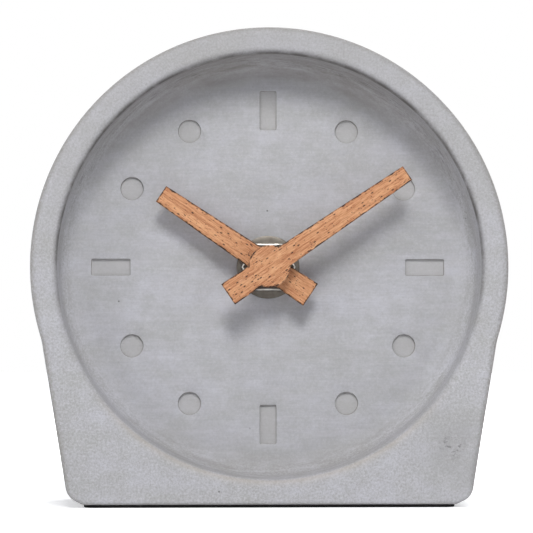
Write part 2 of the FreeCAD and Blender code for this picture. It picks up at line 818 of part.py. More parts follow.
def along_cell(diameter, x_range):
    base = FreeCAD.Vector(x_range[0], dial_y + cell_depth, cell_z)
    return Part.makeCylinder(diameter / 2, x_range[1] - x_range[0], base, FreeCAD.Vector(1, 0, 0))


def battery_can():
    return along_cell(cell_diameter, (cell_left_x, cell_right_x - nub_length))


def battery_cap():
    return along_cell(nub_diameter, (cell_right_x - nub_length, cell_right_x))


pieces = (case_body, base_pad, dial_washer, hex_nut, rubber_gasket,
          minute_hand, minute_hand_bush, hour_hand, hour_hand_bush,
          movement_front_shell, threaded_bush, middle_plate, rear_cover,
          stator_plate, coil_core, coil_bobbin, coil_winding,
          circuit_board, timing_chip, quartz_crystal, positive_contact, negative_contact,
          battery_can, battery_cap,
          rotor_magnet, rotor_pinion, intermediate_wheel, seconds_wheel, third_wheel,
          centre_wheel, minute_arbor, minute_works_wheel, hour_wheel, setting_wheel)

os.makedirs("parts", exist_ok=True)
for piece in pieces:
    shape = piece()
    if len(shape.Solids) != 1 or not shape.isValid():
        raise ValueError(piece.__name__ + " is not one valid solid")
    solid = shape.Solids[0]
    solid.translate(FreeCAD.Vector(0, 0, axis_height))
    solid.exportStep("parts/" + piece.__name__ + ".step")
    print(piece.__name__, round(solid.Volume, 2))
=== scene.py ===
import bpy
import bmesh
from math import acos, atan2, cos, hypot, pi, radians, sin, sqrt, tan, tau
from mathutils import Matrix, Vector


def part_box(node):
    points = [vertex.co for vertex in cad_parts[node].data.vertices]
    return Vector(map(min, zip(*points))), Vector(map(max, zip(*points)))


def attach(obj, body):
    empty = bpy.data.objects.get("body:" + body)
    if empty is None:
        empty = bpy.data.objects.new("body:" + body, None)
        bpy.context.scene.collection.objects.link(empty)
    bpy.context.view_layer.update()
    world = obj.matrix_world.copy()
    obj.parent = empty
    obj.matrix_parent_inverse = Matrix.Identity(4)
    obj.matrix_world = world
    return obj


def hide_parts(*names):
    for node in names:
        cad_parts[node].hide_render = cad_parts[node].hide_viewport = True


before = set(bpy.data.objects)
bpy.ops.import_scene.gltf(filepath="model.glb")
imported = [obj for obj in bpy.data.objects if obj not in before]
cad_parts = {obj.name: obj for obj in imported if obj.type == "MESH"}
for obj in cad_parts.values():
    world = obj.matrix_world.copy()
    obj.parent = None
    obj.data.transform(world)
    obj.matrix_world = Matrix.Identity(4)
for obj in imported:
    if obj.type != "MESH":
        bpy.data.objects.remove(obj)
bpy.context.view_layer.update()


# Case: one block of fine cast concrete, poured face down in a smooth mould. A turned
# plug left the dial recess, twelve small plugs left the sunken hour marks, and a core
# at the back left the pocket for the movement. Lengths here are in millimetres.

MM = 0.001
case_low, case_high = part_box("case_body")
front = case_low.y / MM
rear = case_high.y / MM
case_radius = 60.0
axis_z = case_high.z / MM - case_radius
recess_depth = 14.0
dial = front + recess_depth
dial_wall = 7.0
shoulder_drop = 18.4
shoulder_radius = 20.0
side_taper = radians(9.3)
foot_slope = radians(27.0)
foot_rise = 2.0
foot_z = case_low.z / MM - axis_z
foot_corner_round = 4.5
foot_edge_round = 2.4
front_round = 2.0
rear_round = 1.0
opening_radius = 53.4
wall_draft = radians(4.0)
rim_round = 2.0
cove_radius = 6.0
dial_flat_radius = opening_radius - recess_depth * tan(wall_draft) - cove_radius * tan(radians(43.0))
bush_hole_radius = 4.2
hole_chamfer = 0.3
pocket_floor = dial + dial_wall
pocket_half_width = 31.0
pocket_low = 30.1 - axis_z
pocket_high = 90.9 - axis_z
pocket_corner = 5.0
pocket_foot_round = 0.8
mark_circle = 40.03
mark_depth = 0.7
bar_size = (4.1, 9.8)
dot_radius = 2.86


def linear(code):
    """sRGB hex colour as the linear colour that a socket takes."""
    shares = [int(code[place:place + 2], 16) / 255 for place in (1, 3, 5)]
    return [share / 12.92 if share <= 0.04045 else ((share + 0.055) / 1.055) ** 2.4
            for share in shares] + [1.0]


def fed(tree, node, inputs):
    """Sets a node's inputs by name or number, each to a value or a link."""
    for name, value in inputs.items():
        if isinstance(value, bpy.types.NodeSocket):
            tree.links.new(value, node.inputs[name])
        else:
            node.inputs[name].default_value = value
    return node


def add(tree, kind, inputs=None, **settings):
    """Adds one node with its settings and inputs."""
    node = tree.nodes.new(kind)
    for name, value in settings.items():
        setattr(node, name, value)
    return fed(tree, node, inputs or {})


def finish_named(name):
    """A material with its shader and the piece's own coordinates, in metres."""
    material = bpy.data.materials.new(name)
    material.use_nodes = True
    tree = material.node_tree
    tree.nodes.clear()
    shader = add(tree, "ShaderNodeBsdfPrincipled")
    add(tree, "ShaderNodeOutputMaterial", {"Surface": shader.outputs["BSDF"]})
    where = add(tree, "ShaderNodeTexCoord").outputs["Object"]
    return material, tree, shader, where


def product(tree, *factors):
    """Product of numbers, links and ramps. A ramp is a value, the two ends of its range and,
    if they aren't 0 and 1, what it gives there."""
    whole = None
    for factor in factors:
        if isinstance(factor, tuple):
            value, low, high, *ends = factor
            to_low, to_high = ends or (0.0, 1.0)
            factor = add(tree, "ShaderNodeMapRange", {
                "Value": value, "From Min": low, "From Max": high,
                "To Min": to_low, "To Max": to_high}).outputs["Result"]
        whole = factor if whole is None else add(
            tree, "ShaderNodeMath", {0: whole, 1: factor}, operation="MULTIPLY").outputs["Value"]
    return whole


def total(tree, *parts):
    """Sum of products, each given as its factors."""
    whole = product(tree, *parts[0])
    for part in parts[1:]:
        whole = add(tree, "ShaderNodeMath", {0: whole, 1: product(tree, *part)},
                    operation="ADD").outputs["Value"]
    return whole


def layered(tree, tone, *layers):
    """A colour with others laid over it, each given as the factors of its mask and its hex code."""
    tone = linear(tone)
    for *factors, colour in layers:
        tone = add(tree, "ShaderNodeMix", {0: product(tree, *factors), 6: tone, 7: linear(colour)},
                   data_type="RGBA").outputs[2]
    return tone


def pattern(tree, where, sizes, kind, **inputs):
    """Texture that repeats about once per the three sizes, in millimetres."""
    scale = [1 / (size * MM) for size in sizes]
    laid = add(tree, "ShaderNodeMapping", {"Vector": where, "Scale": scale}).outputs["Vector"]
    return add(tree, kind, {"Vector": laid, "Scale": 1.0, **inputs})


def grained(tree, where, sizes, detail=3.0, rough=0.55):
    """Cloudy grain of the three sizes, from about 0.3 to 0.7."""
    return pattern(tree, where, sizes, "ShaderNodeTexNoise", Detail=detail, Roughness=rough).outputs["Fac"]


def dotted(tree, where, sizes, reach, strength, kept):
    """Dots that fade out over the reach, in the cells whose random number passes the two kept ends."""
    cells = pattern(tree, where, sizes, "ShaderNodeTexVoronoi", Randomness=1.0)
    pick = add(tree, "ShaderNodeSeparateColor", {"Color": cells.outputs["Color"]}).outputs["Red"]
    return product(tree, (cells.outputs["Distance"], *reach, strength, 0.0), (pick, *kept))


def from_axis(tree, where):
    """Distance from the dial's axis, in metres."""
    flat = add(tree, "ShaderNodeVectorMath", {0: where, 1: (1.0, 0.0, 1.0), 2: (0.0, 0.0, -axis_z * MM)},
               operation="MULTIPLY_ADD").outputs["Vector"]
    return add(tree, "ShaderNodeVectorMath", {0: flat}, operation="LENGTH").outputs["Value"]


def shown(name, data):
    """New object in the scene."""
    thing = bpy.data.objects.new(name, data)
    bpy.context.scene.collection.objects.link(thing)
    return thing


def shaded(mesh, smooth_to):
    """Smooth, except at edges sharper than the angle."""
    mesh.polygons.foreach_set("use_smooth", [True] * len(mesh.polygons))
    mesh.set_sharp_from_angle(angle=radians(smooth_to))
    mesh.update()


def mesh_from(name, points, faces, material, smooth_to=30.0):
    """Object from points in millimetres, with its faces turned outwards."""
    mesh = bpy.data.meshes.new(name)
    mesh.from_pydata([[c * MM for c in point] for point in points], [], faces)
    mesh.materials.append(material)
    shaded(mesh, smooth_to)
    shell = bmesh.new()
    shell.from_mesh(mesh)
    bmesh.ops.recalc_face_normals(shell, faces=shell.faces)
    shell.to_mesh(mesh)
    shell.free()
    return shown(name, mesh)


def in_one_finish(mesh, material):
    mesh.materials.clear()
    mesh.materials.append(material)
    mesh.polygons.foreach_set("material_index", [0] * len(mesh.polygons))


def worked_in(thing):
    """Makes an object's modifiers part of its mesh."""
    bpy.context.view_layer.update()
    mesh = bpy.data.meshes.new_from_object(thing.evaluated_get(bpy.context.evaluated_depsgraph_get()))
    thing.modifiers.clear()
    thing.data = mesh
    return mesh


def ring_faces(rings, columns, closed=True):
    """Quads between neighbouring rings of equal count, the last joined to the first if closed."""
    faces = []
    for ring in range(rings if closed else rings - 1):
        following = (ring + 1) % rings
        for column in range(columns):
            beside = (column + 1) % columns
            faces.append((ring * columns + column, following * columns + column,
                          following * columns + beside, ring * columns + beside))
    return faces


def arc_about(centre, radius, start, end, steps):
    turns = [start + (end - start) * step / steps for step in range(steps + 1)]
    return [(centre[0] + radius * cos(turn), centre[1] + radius * sin(turn)) for turn in turns]


def case_outline():
    """Places round the case with their outward directions, from the top down the right side."""
    dome_steps, shoulder_steps, side_steps, edge_steps, base_steps, bend_steps = 144, 12, 22, 3, 32, 8
    down = Vector((-sin(side_taper), -cos(side_taper)))
    outward = Vector((cos(side_taper), -sin(side_taper)))
    shoulder = Vector((sqrt(case_radius ** 2 - shoulder_drop ** 2), -shoulder_drop))
    lean = shoulder.dot(down)
    gap = 2 * shoulder_radius * (case_radius - shoulder.dot(outward))
    side_start = shoulder + down * (sqrt(lean ** 2 + gap) - lean)
    hollow = side_start + outward * shoulder_radius
    dome_end = atan2(hollow.y, hollow.x)
    places = []
    for step in range(dome_steps):
        turn = pi / 2 + (dome_end - pi / 2) * step / dome_steps
        direction = Vector((cos(turn), sin(turn)))
        places.append((direction * case_radius, direction))
    first, last = (atan2(-way.y, -way.x) % tau for way in (hollow, outward))
    for step in range(shoulder_steps + 1):
        turn = first + (last - first) * step / shoulder_steps
        direction = Vector((cos(turn), sin(turn)))
        places.append((hollow + direction * shoulder_radius, -direction))
    slope = Vector((-cos(foot_slope), -sin(foot_slope)))
    under = Vector((sin(foot_slope), -cos(foot_slope)))
    corner_z = foot_z + foot_rise
    corner = Vector((side_start.x - tan(side_taper) * (side_start.y - corner_z), corner_z))
    edge = corner + slope * (foot_rise / sin(foot_slope))
    level = Vector((-1.0, 0.0))
    base = Vector((0.0, -1.0))
    for bend, before, facing, after, facing_on, radius, run in (
            (corner, down, outward, slope, under, foot_corner_round, side_steps),
            (edge, slope, under, level, base, foot_edge_round, edge_steps)):
        begin = bend - before * (radius * tan(acos(before.dot(after)) / 2))
        last_place = places[-1][0]
        for step in range(1, run):
            places.append((last_place.lerp(begin, step / run), facing))
        centre = begin - facing * radius
        for step in range(bend_steps + 1):
            direction = facing.slerp(facing_on, step / bend_steps)
            places.append((centre + direction * radius, direction))
    last_place = places[-1][0]
    for step in range(1, base_steps + 1):
        places.append((last_place.lerp(Vector((0.0, foot_z)), step / base_steps), base))
    left = [(Vector((-place.x, place.y)), Vector((-facing.x, facing.y)))
            for place, facing in reversed(places[1:-1])]
    return places + left


def pocket_reach(direction, margin=0.0):
    """Distance from the dial's centre line to the pocket's wall, in a direction across the depth."""
    low, high = 0.0, 80.0
    middle = (pocket_low + pocket_high) / 2
    half = (pocket_half_width + margin, (pocket_high - pocket_low) / 2 + margin)
    radius = pocket_corner + margin
    while high - low > 1e-6:
        reach = (low + high) / 2
        across = abs(direction.x * reach) - half[0] + radius
        up = abs(direction.y * reach - middle) - half[1] + radius
        past = hypot(max(across, 0.0), max(up, 0.0)) + min(max(across, up), 0.0) - radius
        low, high = (low, reach) if past > 0 else (reach, high)
    return low


def case_points():
    """Rings of the case from the dial's hole over the front, the outside and the back into the pocket."""
    outline = case_outline()
    rays = [place.normalized() for place, facing in outline]
    rings = []

    def round_ring(radius, y):
        rings.append([(ray.x * radius, y, ray.y * radius) for ray in rays])

    def outline_ring(inset, y):
        rings.append([(place.x - facing.x * inset, y, place.y - facing.y * inset)
                      for place, facing in outline])

    def front_ring(inset, back):
        """Ring of the front edge, which is rounder on the dome than along the base."""
        ring = []
        for place, facing in outline:
            share = 1.0 - 0.6 * min(max((-facing.y - 0.2) / 0.6, 0.0), 1.0)
            ring.append((place.x - facing.x * inset * share, front + back * share,
                         place.y - facing.y * inset * share))
        rings.append(ring)

    def pocket_ring(margin, y):
        rings.append([(ray.x * reach, y, ray.y * reach)
                      for ray, reach in zip(rays, [pocket_reach(ray, margin) for ray in rays])])

    def between(steps):
        """Rings spread evenly between the last two."""
        start, end = rings[-2:]
        rings[-1:] = [[tuple(a + (b - a) * step / steps for a, b in zip(p, q))
                       for p, q in zip(start, end)] for step in range(1, steps + 1)]

    def quarter(steps, first=0):
        return [pi / 2 * step / steps for step in range(first, steps + 1)]

    for radius in (bush_hole_radius + hole_chamfer, bush_hole_radius + 2 * hole_chamfer, 10.0, 20.0,
                   33.5, 46.2, dial_flat_radius - 0.15):
        round_ring(radius, dial)
    for radius, y in arc_about((dial_flat_radius, dial - cove_radius), cove_radius, pi / 2, wall_draft, 14):
        round_ring(radius, y)
    rim_inset = rim_round * tan((pi / 2 - wall_draft) / 2)
    rim_arc = arc_about((opening_radius + rim_inset, front + rim_round), rim_round,
                        -pi + wall_draft, -pi / 2, 8)
    round_ring(*rim_arc[0])
    between(5)
    for radius, y in rim_arc[1:]:
        round_ring(radius, y)
    round_ring(rim_arc[-1][0] + 0.15, front)
    front_ring(front_round + 0.15, 0.0)
    between(5)
    for turn in quarter(8):
        front_ring(front_round - front_round * sin(turn), front_round - front_round * cos(turn))
    outline_ring(0.0, front + front_round + 0.2)
    outline_ring(0.0, rear - rear_round - 0.2)
    between(12)
    for turn in quarter(4):
        outline_ring(rear_round - cos(turn), rear - rear_round + sin(turn))
    outline_ring(rear_round + 0.2, rear)
    pocket_ring(rear_round + 0.2, rear)
    between(4)
    for turn in quarter(4):
        pocket_ring(rear_round - sin(turn), rear - rear_round + cos(turn))
    pocket_ring(0.0, pocket_floor + pocket_foot_round + 0.1)
    between(5)
    for turn in quarter(4, first=1):
        pocket_ring(-pocket_foot_round + pocket_foot_round * cos(turn),
                    pocket_floor + pocket_foot_round - pocket_foot_round * sin(turn))
    pocket_ring(-pocket_foot_round - 0.2, pocket_floor)
    round_ring(bush_hole_radius + 2 * hole_chamfer, pocket_floor)
    between(3)
    round_ring(bush_hole_radius + hole_chamfer, pocket_floor)
    round_ring(bush_hole_radius, pocket_floor - hole_chamfer)
    round_ring(bush_hole_radius, dial + hole_chamfer)
    return rings


def plug(name, outline):
    """Mould plug of an hour mark at twelve o'clock: drafted sides that flare at the dial's face."""
    levels = ((0.12, mark_depth), (0.0, mark_depth - 0.10), (-0.03, 0.12), (-0.08, 0.04), (-0.16, 0.0),
              (-0.16, -1.0))
    points = [(place[0] - facing[0] * inset, y, place[1] - facing[1] * inset + mark_circle)
              for inset, y in levels for place, facing in outline]
    count = len(outline)
    faces = ring_faces(len(levels), count, closed=False)
    faces.append(tuple(range(count)))
    faces.append(tuple(reversed(range((len(levels) - 1) * count, len(levels) * count))))
    return mesh_from(name, points, faces, concrete)


def eased_rectangle(width, length, radius, steps):
    """Places and outward directions round a rectangle with rounded corners."""
    outline = []
    for side, (x, z) in enumerate(((1, 1), (-1, 1), (-1, -1), (1, -1))):
        centre = (x * (width / 2 - radius), z * (length / 2 - radius))
        for step in range(steps + 1):
            turn = pi / 2 * (side + step / steps)
            facing = (cos(turn), sin(turn))
            outline.append(((centre[0] + radius * facing[0], centre[1] + radius * facing[1]), facing))
    return outline


def tree_with(name, sockets):
    """Geometry tree with its named inputs, as links, and its output node."""
    tree = bpy.data.node_groups.new(name, "GeometryNodeTree")
    for label, kind in sockets:
        tree.interface.new_socket(name=label, in_out="INPUT", socket_type=kind)
    tree.interface.new_socket(name="Geometry", in_out="OUTPUT", socket_type="NodeSocketGeometry")
    return tree, add(tree, "NodeGroupInput").outputs, add(tree, "NodeGroupOutput")


def grown(name, tree, values):
    """Object with the mesh that a geometry tree makes from the named values."""
    thing = shown(name, bpy.data.meshes.new(name))
    modifier = thing.modifiers.new(name, "NODES")
    modifier.node_group = tree
    for item in tree.interface.items_tree:
        if item.item_type == "SOCKET" and item.in_out == "INPUT" and item.name in values:
            modifier[item.identifier] = values[item.name]
    in_one_finish(worked_in(thing), values["Material"])
    return thing


# Cast concrete, fine and pale grey: matt, cloudy, with sand specks and pinholes. The
# dial has faint level lines, painted shade darkens the marks and the top of the wall
# and rim, and thin dark lines run inside the rim.
concrete, tree, shader, where = finish_named("Cast concrete")
axes = add(tree, "ShaderNodeSeparateXYZ", {"Vector": where}).outputs
# In millimetres: behind the dial's face (the front is at -14), above the axis, to its
# right, and away from it.
depth = total(tree, (axes["Y"], 1 / MM), (-dial,))
up = total(tree, (axes["Z"], 1 / MM), (-axis_z,))
across = product(tree, axes["X"], 1 / MM)
away = product(tree, from_axis(tree, where), 1 / MM)


def at_depth(level, gone, full):
    """Band at a depth, gone at one distance from it and full at another."""
    off = add(tree, "ShaderNodeMath", {0: total(tree, (depth,), (-level,))}, operation="ABSOLUTE")
    return product(tree, (off.outputs["Value"], gone, full))


inside = product(tree, (away, opening_radius + 1.2, opening_radius + 0.6), (depth, 3.0, 2.0))
on_dial = product(tree, inside, (depth, -2.5, -0.2))
on_cove = product(tree, inside, (depth, -0.3, -1.5), (depth, -12.0, -9.0))
on_wall = product(tree, inside, (depth, -13.3, -12.3), (away, dial_flat_radius - 0.5, dial_flat_radius + 2.0))
on_edge = product(tree, (depth, -13.95, -13.4), (depth, -11.5, -12.5), (away, 58.0, 59.0))
on_rim = product(tree, (depth, -12.5, -13.6))
# Masks of the painted shade in the hour marks: their whole inside, and their walls.
in_mark = product(tree, inside, (depth, 0.02, 0.12))
on_mark_side = product(tree, in_mark, (depth, mark_depth - 0.02, mark_depth - 0.12))
clouds = grained(tree, where, (20.0, 20.0, 9.0), 4.0, 0.6)
mottle = grained(tree, where, (4.5, 4.5, 4.5), 5.0, 0.65)
sand = grained(tree, where, (0.55, 0.55, 0.55), 2.0, 0.8)
grit = product(tree, (on_dial, 0.0, 1.0, 0.60, 0.26))
lines = grained(tree, where, (7.0, 7.0, 0.45), 3.0, 0.6)
wipes = grained(tree, where, (22.0, 22.0, 3.2), 5.0, 0.7)
drifts = grained(tree, where, (9.0, 1.3, 9.0), 5.0, 0.7)
breaks = grained(tree, where, (6.0, 6.0, 6.0), 4.0, 0.7)
scratches = grained(tree, where, (3.5, 0.45, 3.5), 4.0, 0.75)
crumbs = grained(tree, where, (1.3, 1.3, 0.9), 4.0, 0.75)
# Thin dark lines inside the rim: one just behind its rounded edge over the top and sides, and a fainter one
# deeper in over the upper left.
rim_dark_line = product(tree, inside, (up, -20.0, 10.0), at_depth(-12.7, 1.1, 0.3),
                     (breaks, 0.35, 0.58, 0.35, 0.95))
second_line = product(tree, inside, (up, 10.0, 30.0), at_depth(-11.0, 0.5, 0.15),
                      (across, 5.0, -20.0, 0.0, 0.5))
both_lines = add(tree, "ShaderNodeMath", {0: rim_dark_line, 1: second_line},
                 operation="MAXIMUM").outputs["Value"]
pinhole = dotted(tree, where, (4.2, 4.2, 4.2), (0.04, 0.07), 1.0, (0.88, 0.90))
# One damp patch low on the right of the foot, with a few pits in it.
from_patch, from_pits = (add(tree, "ShaderNodeVectorMath", {0: where, 1: (x * MM, front * MM, z * MM)},
                             operation="DISTANCE").outputs["Value"] for x, z in ((48.0, 14.0), (45.5, 15.4)))
pits = product(tree, (from_pits, 4.2 * MM, 1.5 * MM), (crumbs, 0.54, 0.62))
# Painted shade darkens the wall above the dial most, where it faces down; below the dial the wall is darkened
# a little.
wall_painted_shade = total(tree, ((up, 20.0, 48.0, 0.0, 0.62),), ((up, -30.0, -50.0, 0.0, 0.26),))
scratched = product(tree, on_wall, (up, 5.0, 25.0), (depth, -0.8, -3.5))
tone = layered(
    tree, "#b2b2b2", ((clouds, 0.36, 0.64), "#bdbdc2"),
    ((mottle, 0.40, 0.66, 0.0, 0.40), "#a8a6a6"), ((mottle, 0.44, 0.32, 0.0, 0.30), "#c5c5ca"),
    (grit, (sand, 0.50, 0.72), "#96938f"), (grit, (sand, 0.50, 0.28), "#d2d1d5"),
    (on_dial, (lines, 0.36, 0.64, 0.26, 0.0), "#a1a1a6"),
    (on_dial, (wipes, 0.50, 0.70, 0.0, 0.28), "#c6c5cb"),
    (on_cove, (drifts, 0.50, 0.66, 0.0, 0.55), "#a19f9f"),
    (on_cove, (drifts, 0.44, 0.36, 0.0, 0.45), "#c6c5ca"),
    # The rim's layer on the next line is painted shade: the rim's face grows darker towards the top.
    (on_edge, (sand, 0.35, 0.65, 0.2, 0.75), "#9d9891"), (on_rim, (up, -25.0, 55.0, 0.0, 0.45), "#a09e9d"),
    # Painted shade on the wall, broken up by streaks.
    (on_wall, wall_painted_shade, (drifts, 0.36, 0.60, 0.7, 1.25), "#8b8784"),
    (scratched, (scratches, 0.52, 0.66, 0.0, 0.60), "#6a6664"),
    (scratched, (scratches, 0.42, 0.32, 0.0, 0.40), "#b9b8ba"),
    (at_depth(-13.5, 0.6, 0.2), (up, -30.0, -42.0, 0.0, 0.32), (away, 56.0, 55.0), "#b7ab9b"),
    ((from_patch, 16.0 * MM, 4.0 * MM), (breaks, 0.35, 0.60, 0.15, 0.60), "#a09f9f"),
    # Painted shade in the hour marks: their insides a little darker, their walls darker and patchy.
    (pits, 0.6, "#6b6a69"), (in_mark, 0.45, "#b3b1ae"),
    (on_mark_side, (mottle, 0.38, 0.60, 0.50, 0.95), "#7a756d"),
    (both_lines, "#625f5d"), (pinhole, 0.75, "#63625f"))
height = total(tree, (sand, 0.4), (mottle, 0.6), (lines, on_dial, 0.35),
               (pinhole, -1.2), (pits, -1.2), (rim_dark_line, -1.2))
bump = add(tree, "ShaderNodeBump", {"Height": height, "Strength": 0.5, "Distance": 0.16 * MM})
fed(tree, shader, {"Base Color": tone, "Roughness": 0.82, "Specular IOR Level": 0.35,
                   "Normal": bump.outputs["Normal"]})

rings = case_points()
case = mesh_from("cast_case", [(x, y, z + axis_z) for ring in rings for x, y, z in ring],
                 ring_faces(len(rings), len(rings[0])), concrete)
bar_plug = plug("bar_plug", eased_rectangle(*bar_size, 0.35, 4))
dot_plug = plug("dot_plug", [((dot_radius * cos(turn), dot_radius * sin(turn)), (cos(turn), sin(turn)))
                             for turn in [tau * step / 48 for step in range(48)]])


def delivered(tree, instances, given, result):
    """Ends a geometry tree: its instances made real and in the given material."""
    geometry = add(tree, "GeometryNodeRealizeInstances", {"Geometry": instances}).outputs["Geometry"]
    coated = add(tree, "GeometryNodeSetMaterial", {"Geometry": geometry, "Material": given["Material"]})
    tree.links.new(coated.outputs["Geometry"], result.inputs["Geometry"])


# The plugs stand in a ring: a bar at each quarter and dots between.
tree, given, result = tree_with("Hour marks round the dial", (
    ("Bar plug", "NodeSocketObject"), ("Dot plug", "NodeSocketObject"), ("Mark count", "NodeSocketInt"),
    ("Marks per quarter", "NodeSocketInt"), ("Dial centre", "NodeSocketVector"),
    ("Material", "NodeSocketMaterial")))
number = add(tree, "GeometryNodeInputIndex").outputs["Index"]
spots = add(tree, "GeometryNodePoints", {"Count": given["Mark count"],
                                         "Position": given["Dial centre"]}).outputs["Points"]
share = add(tree, "ShaderNodeMath", {0: number, 1: given["Mark count"]}, operation="DIVIDE").outputs["Value"]
about = add(tree, "ShaderNodeCombineXYZ", {"Y": product(tree, share, tau)}).outputs["Vector"]
spin = add(tree, "FunctionNodeEulerToRotation", {"Euler": about}).outputs["Rotation"]
place_in_quarter = add(tree, "ShaderNodeMath", {0: number, 1: given["Marks per quarter"]},
                       operation="MODULO").outputs["Value"]
joined = add(tree, "GeometryNodeJoinGeometry")
for label, comparison in (("Bar plug", "LESS_THAN"), ("Dot plug", "GREATER_THAN")):
    chosen = add(tree, "FunctionNodeCompare", {0: place_in_quarter, 1: 0.5}, operation=comparison)
    shape = add(tree, "GeometryNodeObjectInfo", {"Object": given[label]}).outputs["Geometry"]
    placed = add(tree, "GeometryNodeInstanceOnPoints", {"Points": spots, "Instance": shape, "Rotation": spin,
                                                        "Selection": chosen.outputs["Result"]})
    tree.links.new(placed.outputs["Instances"], joined.inputs["Geometry"])
delivered(tree, joined.outputs["Geometry"], given, result)
plugs = grown("hour_mark_plugs", tree, {
    "Bar plug": bar_plug, "Dot plug": dot_plug, "Mark count": 12, "Marks per quarter": 3,
    "Dial centre": (0.0, dial * MM, axis_z * MM), "Material": concrete})
cut = case.modifiers.new("Hour marks", "BOOLEAN")
cut.operation = "DIFFERENCE"
cut.solver = "EXACT"
cut.object = plugs
shaded(worked_in(case), 32.0)
for helper in (plugs, bar_plug, dot_plug):
    bpy.data.objects.remove(helper)
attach(case, "clock")
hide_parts("case_body")


# Base pad: a thin sheet of black foam rubber stuck under the foot, die cut a little
# smaller than the foot, so that only a dark line of it shows.

def eased_copy(name, node, width, segments, material):
    """Copy of a CAD node with its flats merged and its edges rounded."""
    shell = bmesh.new()
    shell.from_mesh(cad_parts[node].data)
    bmesh.ops.remove_doubles(shell, verts=shell.verts, dist=0.002 * MM)
    bmesh.ops.dissolve_limit(shell, angle_limit=radians(0.5), verts=shell.verts, edges=shell.edges)
    mesh = bpy.data.meshes.new(name)
    shell.to_mesh(mesh)
    shell.free()
    in_one_finish(mesh, material)
    mesh.polygons.foreach_set("use_smooth", [True] * len(mesh.polygons))
    thing = shown(name, mesh)
    bevel = thing.modifiers.new("Eased edges", "BEVEL")
    bevel.width = width * MM
    bevel.segments = segments
    bevel.limit_method = "ANGLE"
    bevel.angle_limit = radians(30)
    thing.modifiers.new("Flats stay flat", "WEIGHTED_NORMAL").weight = 100
    worked_in(thing)
    return thing


def worked_finish(name, dark, light, sizes, roughness, rise, metal=0.0):
    """Material in which one grain shifts the tone, the sheen and the surface (rise in millimetres)."""
    material, tree, shader, where = finish_named(name)
    grain = grained(tree, where, sizes)
    bump = add(tree, "ShaderNodeBump", {"Height": grain, "Strength": 0.6, "Distance": rise * MM})
    fed(tree, shader, {"Base Color": layered(tree, dark, ((grain, 0.32, 0.68), light)),
                       "Roughness": product(tree, (grain, 0.32, 0.68, *roughness)),
                       "Metallic": metal, "Normal": bump.outputs["Normal"]})
    return material


# Closed-cell foam rubber, skived: dull black with fine cells.
foam = worked_finish("Black foam rubber", "#161616", "#232324", (0.5, 0.5, 0.5), (0.86, 0.94), 0.1)
pad = eased_copy("foot_pad", "base_pad", 0.3, 3, foam)
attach(pad, "clock")
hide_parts("base_pad")


# Washer and nut: both punched or turned from steel and nickel plated. They clamp the
# dial wall against the movement, and the threaded bush ends just past the nut.

def about_axis(radius, y, turn, centre=(0.0, axis_z)):
    return (centre[0] + radius * cos(turn), y, centre[1] + radius * sin(turn))


def turned(name, profile, columns, material, centre=(0.0, axis_z)):
    """Ring with a closed profile of (radius, y) points, turned about a line across the dial."""
    points = [about_axis(radius, y, tau * column / columns, centre)
              for radius, y in profile for column in range(columns)]
    return mesh_from(name, points, ring_faces(len(profile), columns), material)


def nickel_plate(name, face_tone, painted_light_tone, rougher):
    """Nickel on steel, dulled on the faces, with painted light laid on in a second tone where a point
    attribute asks for it.
    """
    material, tree, shader, where = finish_named(name)
    handling = grained(tree, where, (1.6, 1.6, 1.6), 4.0)
    painted_light = add(tree, "ShaderNodeAttribute", attribute_name="painted_light", attribute_type="GEOMETRY").outputs["Fac"]
    groove = product(tree, from_axis(tree, where), 1 / (0.15 * MM))
    turning = add(tree, "ShaderNodeTexNoise", {"W": groove, "Scale": 1.0},
                  noise_dimensions="1D").outputs["Fac"]
    bump = add(tree, "ShaderNodeBump", {"Height": turning, "Strength": 0.25, "Distance": 0.03 * MM})
    fed(tree, shader, {
        "Base Color": layered(tree, face_tone, (painted_light, painted_light_tone),
                              ((handling, 0.40, 0.70, 0.0, 0.40), "#5a5149")),
        "Metallic": 1.0, "Roughness": product(tree, (handling, 0.3, 0.7, 0.28 + rougher, 0.44 + rougher)),
        "Normal": bump.outputs["Normal"]})
    return material


def marked_painted_light(thing, amounts, columns):
    """Writes, ring by ring, how much painted light each ring carries."""
    painted_light = thing.data.attributes.new("painted_light", "FLOAT", "POINT")
    painted_light.data.foreach_set("value", [amount for amount in amounts for column in range(columns)])


washer_nickel = nickel_plate("Nickel-plated steel, dulled", "#6c6760", "#858078", 0.14)
nut_nickel = nickel_plate("Nickel-plated steel, nut", "#605b55", "#e4e0d8", 0.0)
nickel = nickel_plate("Nickel-plated steel strip", "#b9b5ae", "#d6d2cb", 0.0)

washer_radius = 8.0
washer_front = dial - 1.0
washer_columns = 96
eased = 0.12
washer = turned("dial_ring_washer", [
    (bush_hole_radius, dial - eased), (bush_hole_radius + eased, dial), (washer_radius - eased, dial),
    (washer_radius, dial - eased), (washer_radius, washer_front + eased),
    (washer_radius - 0.04, washer_front + 0.04), (washer_radius - eased, washer_front),
    (washer_radius - 1.1, washer_front), (6.3, washer_front), (bush_hole_radius + eased, washer_front),
    (bush_hole_radius, washer_front + eased)], washer_columns, washer_nickel)
# Painted light on the washer's face: a lighter band just outside the nut.
marked_painted_light(washer, (0, 0, 0, 0, 0, 0.1, 0.0, 0.75, 1.0, 0.2, 0), washer_columns)
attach(washer, "clock")
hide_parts("dial_washer")

nut_flat = 6.0
nut_chamfer_radius = 6.55
nut_front = washer_front - 2.5
bush_radius = 4.0
nut_columns = 120
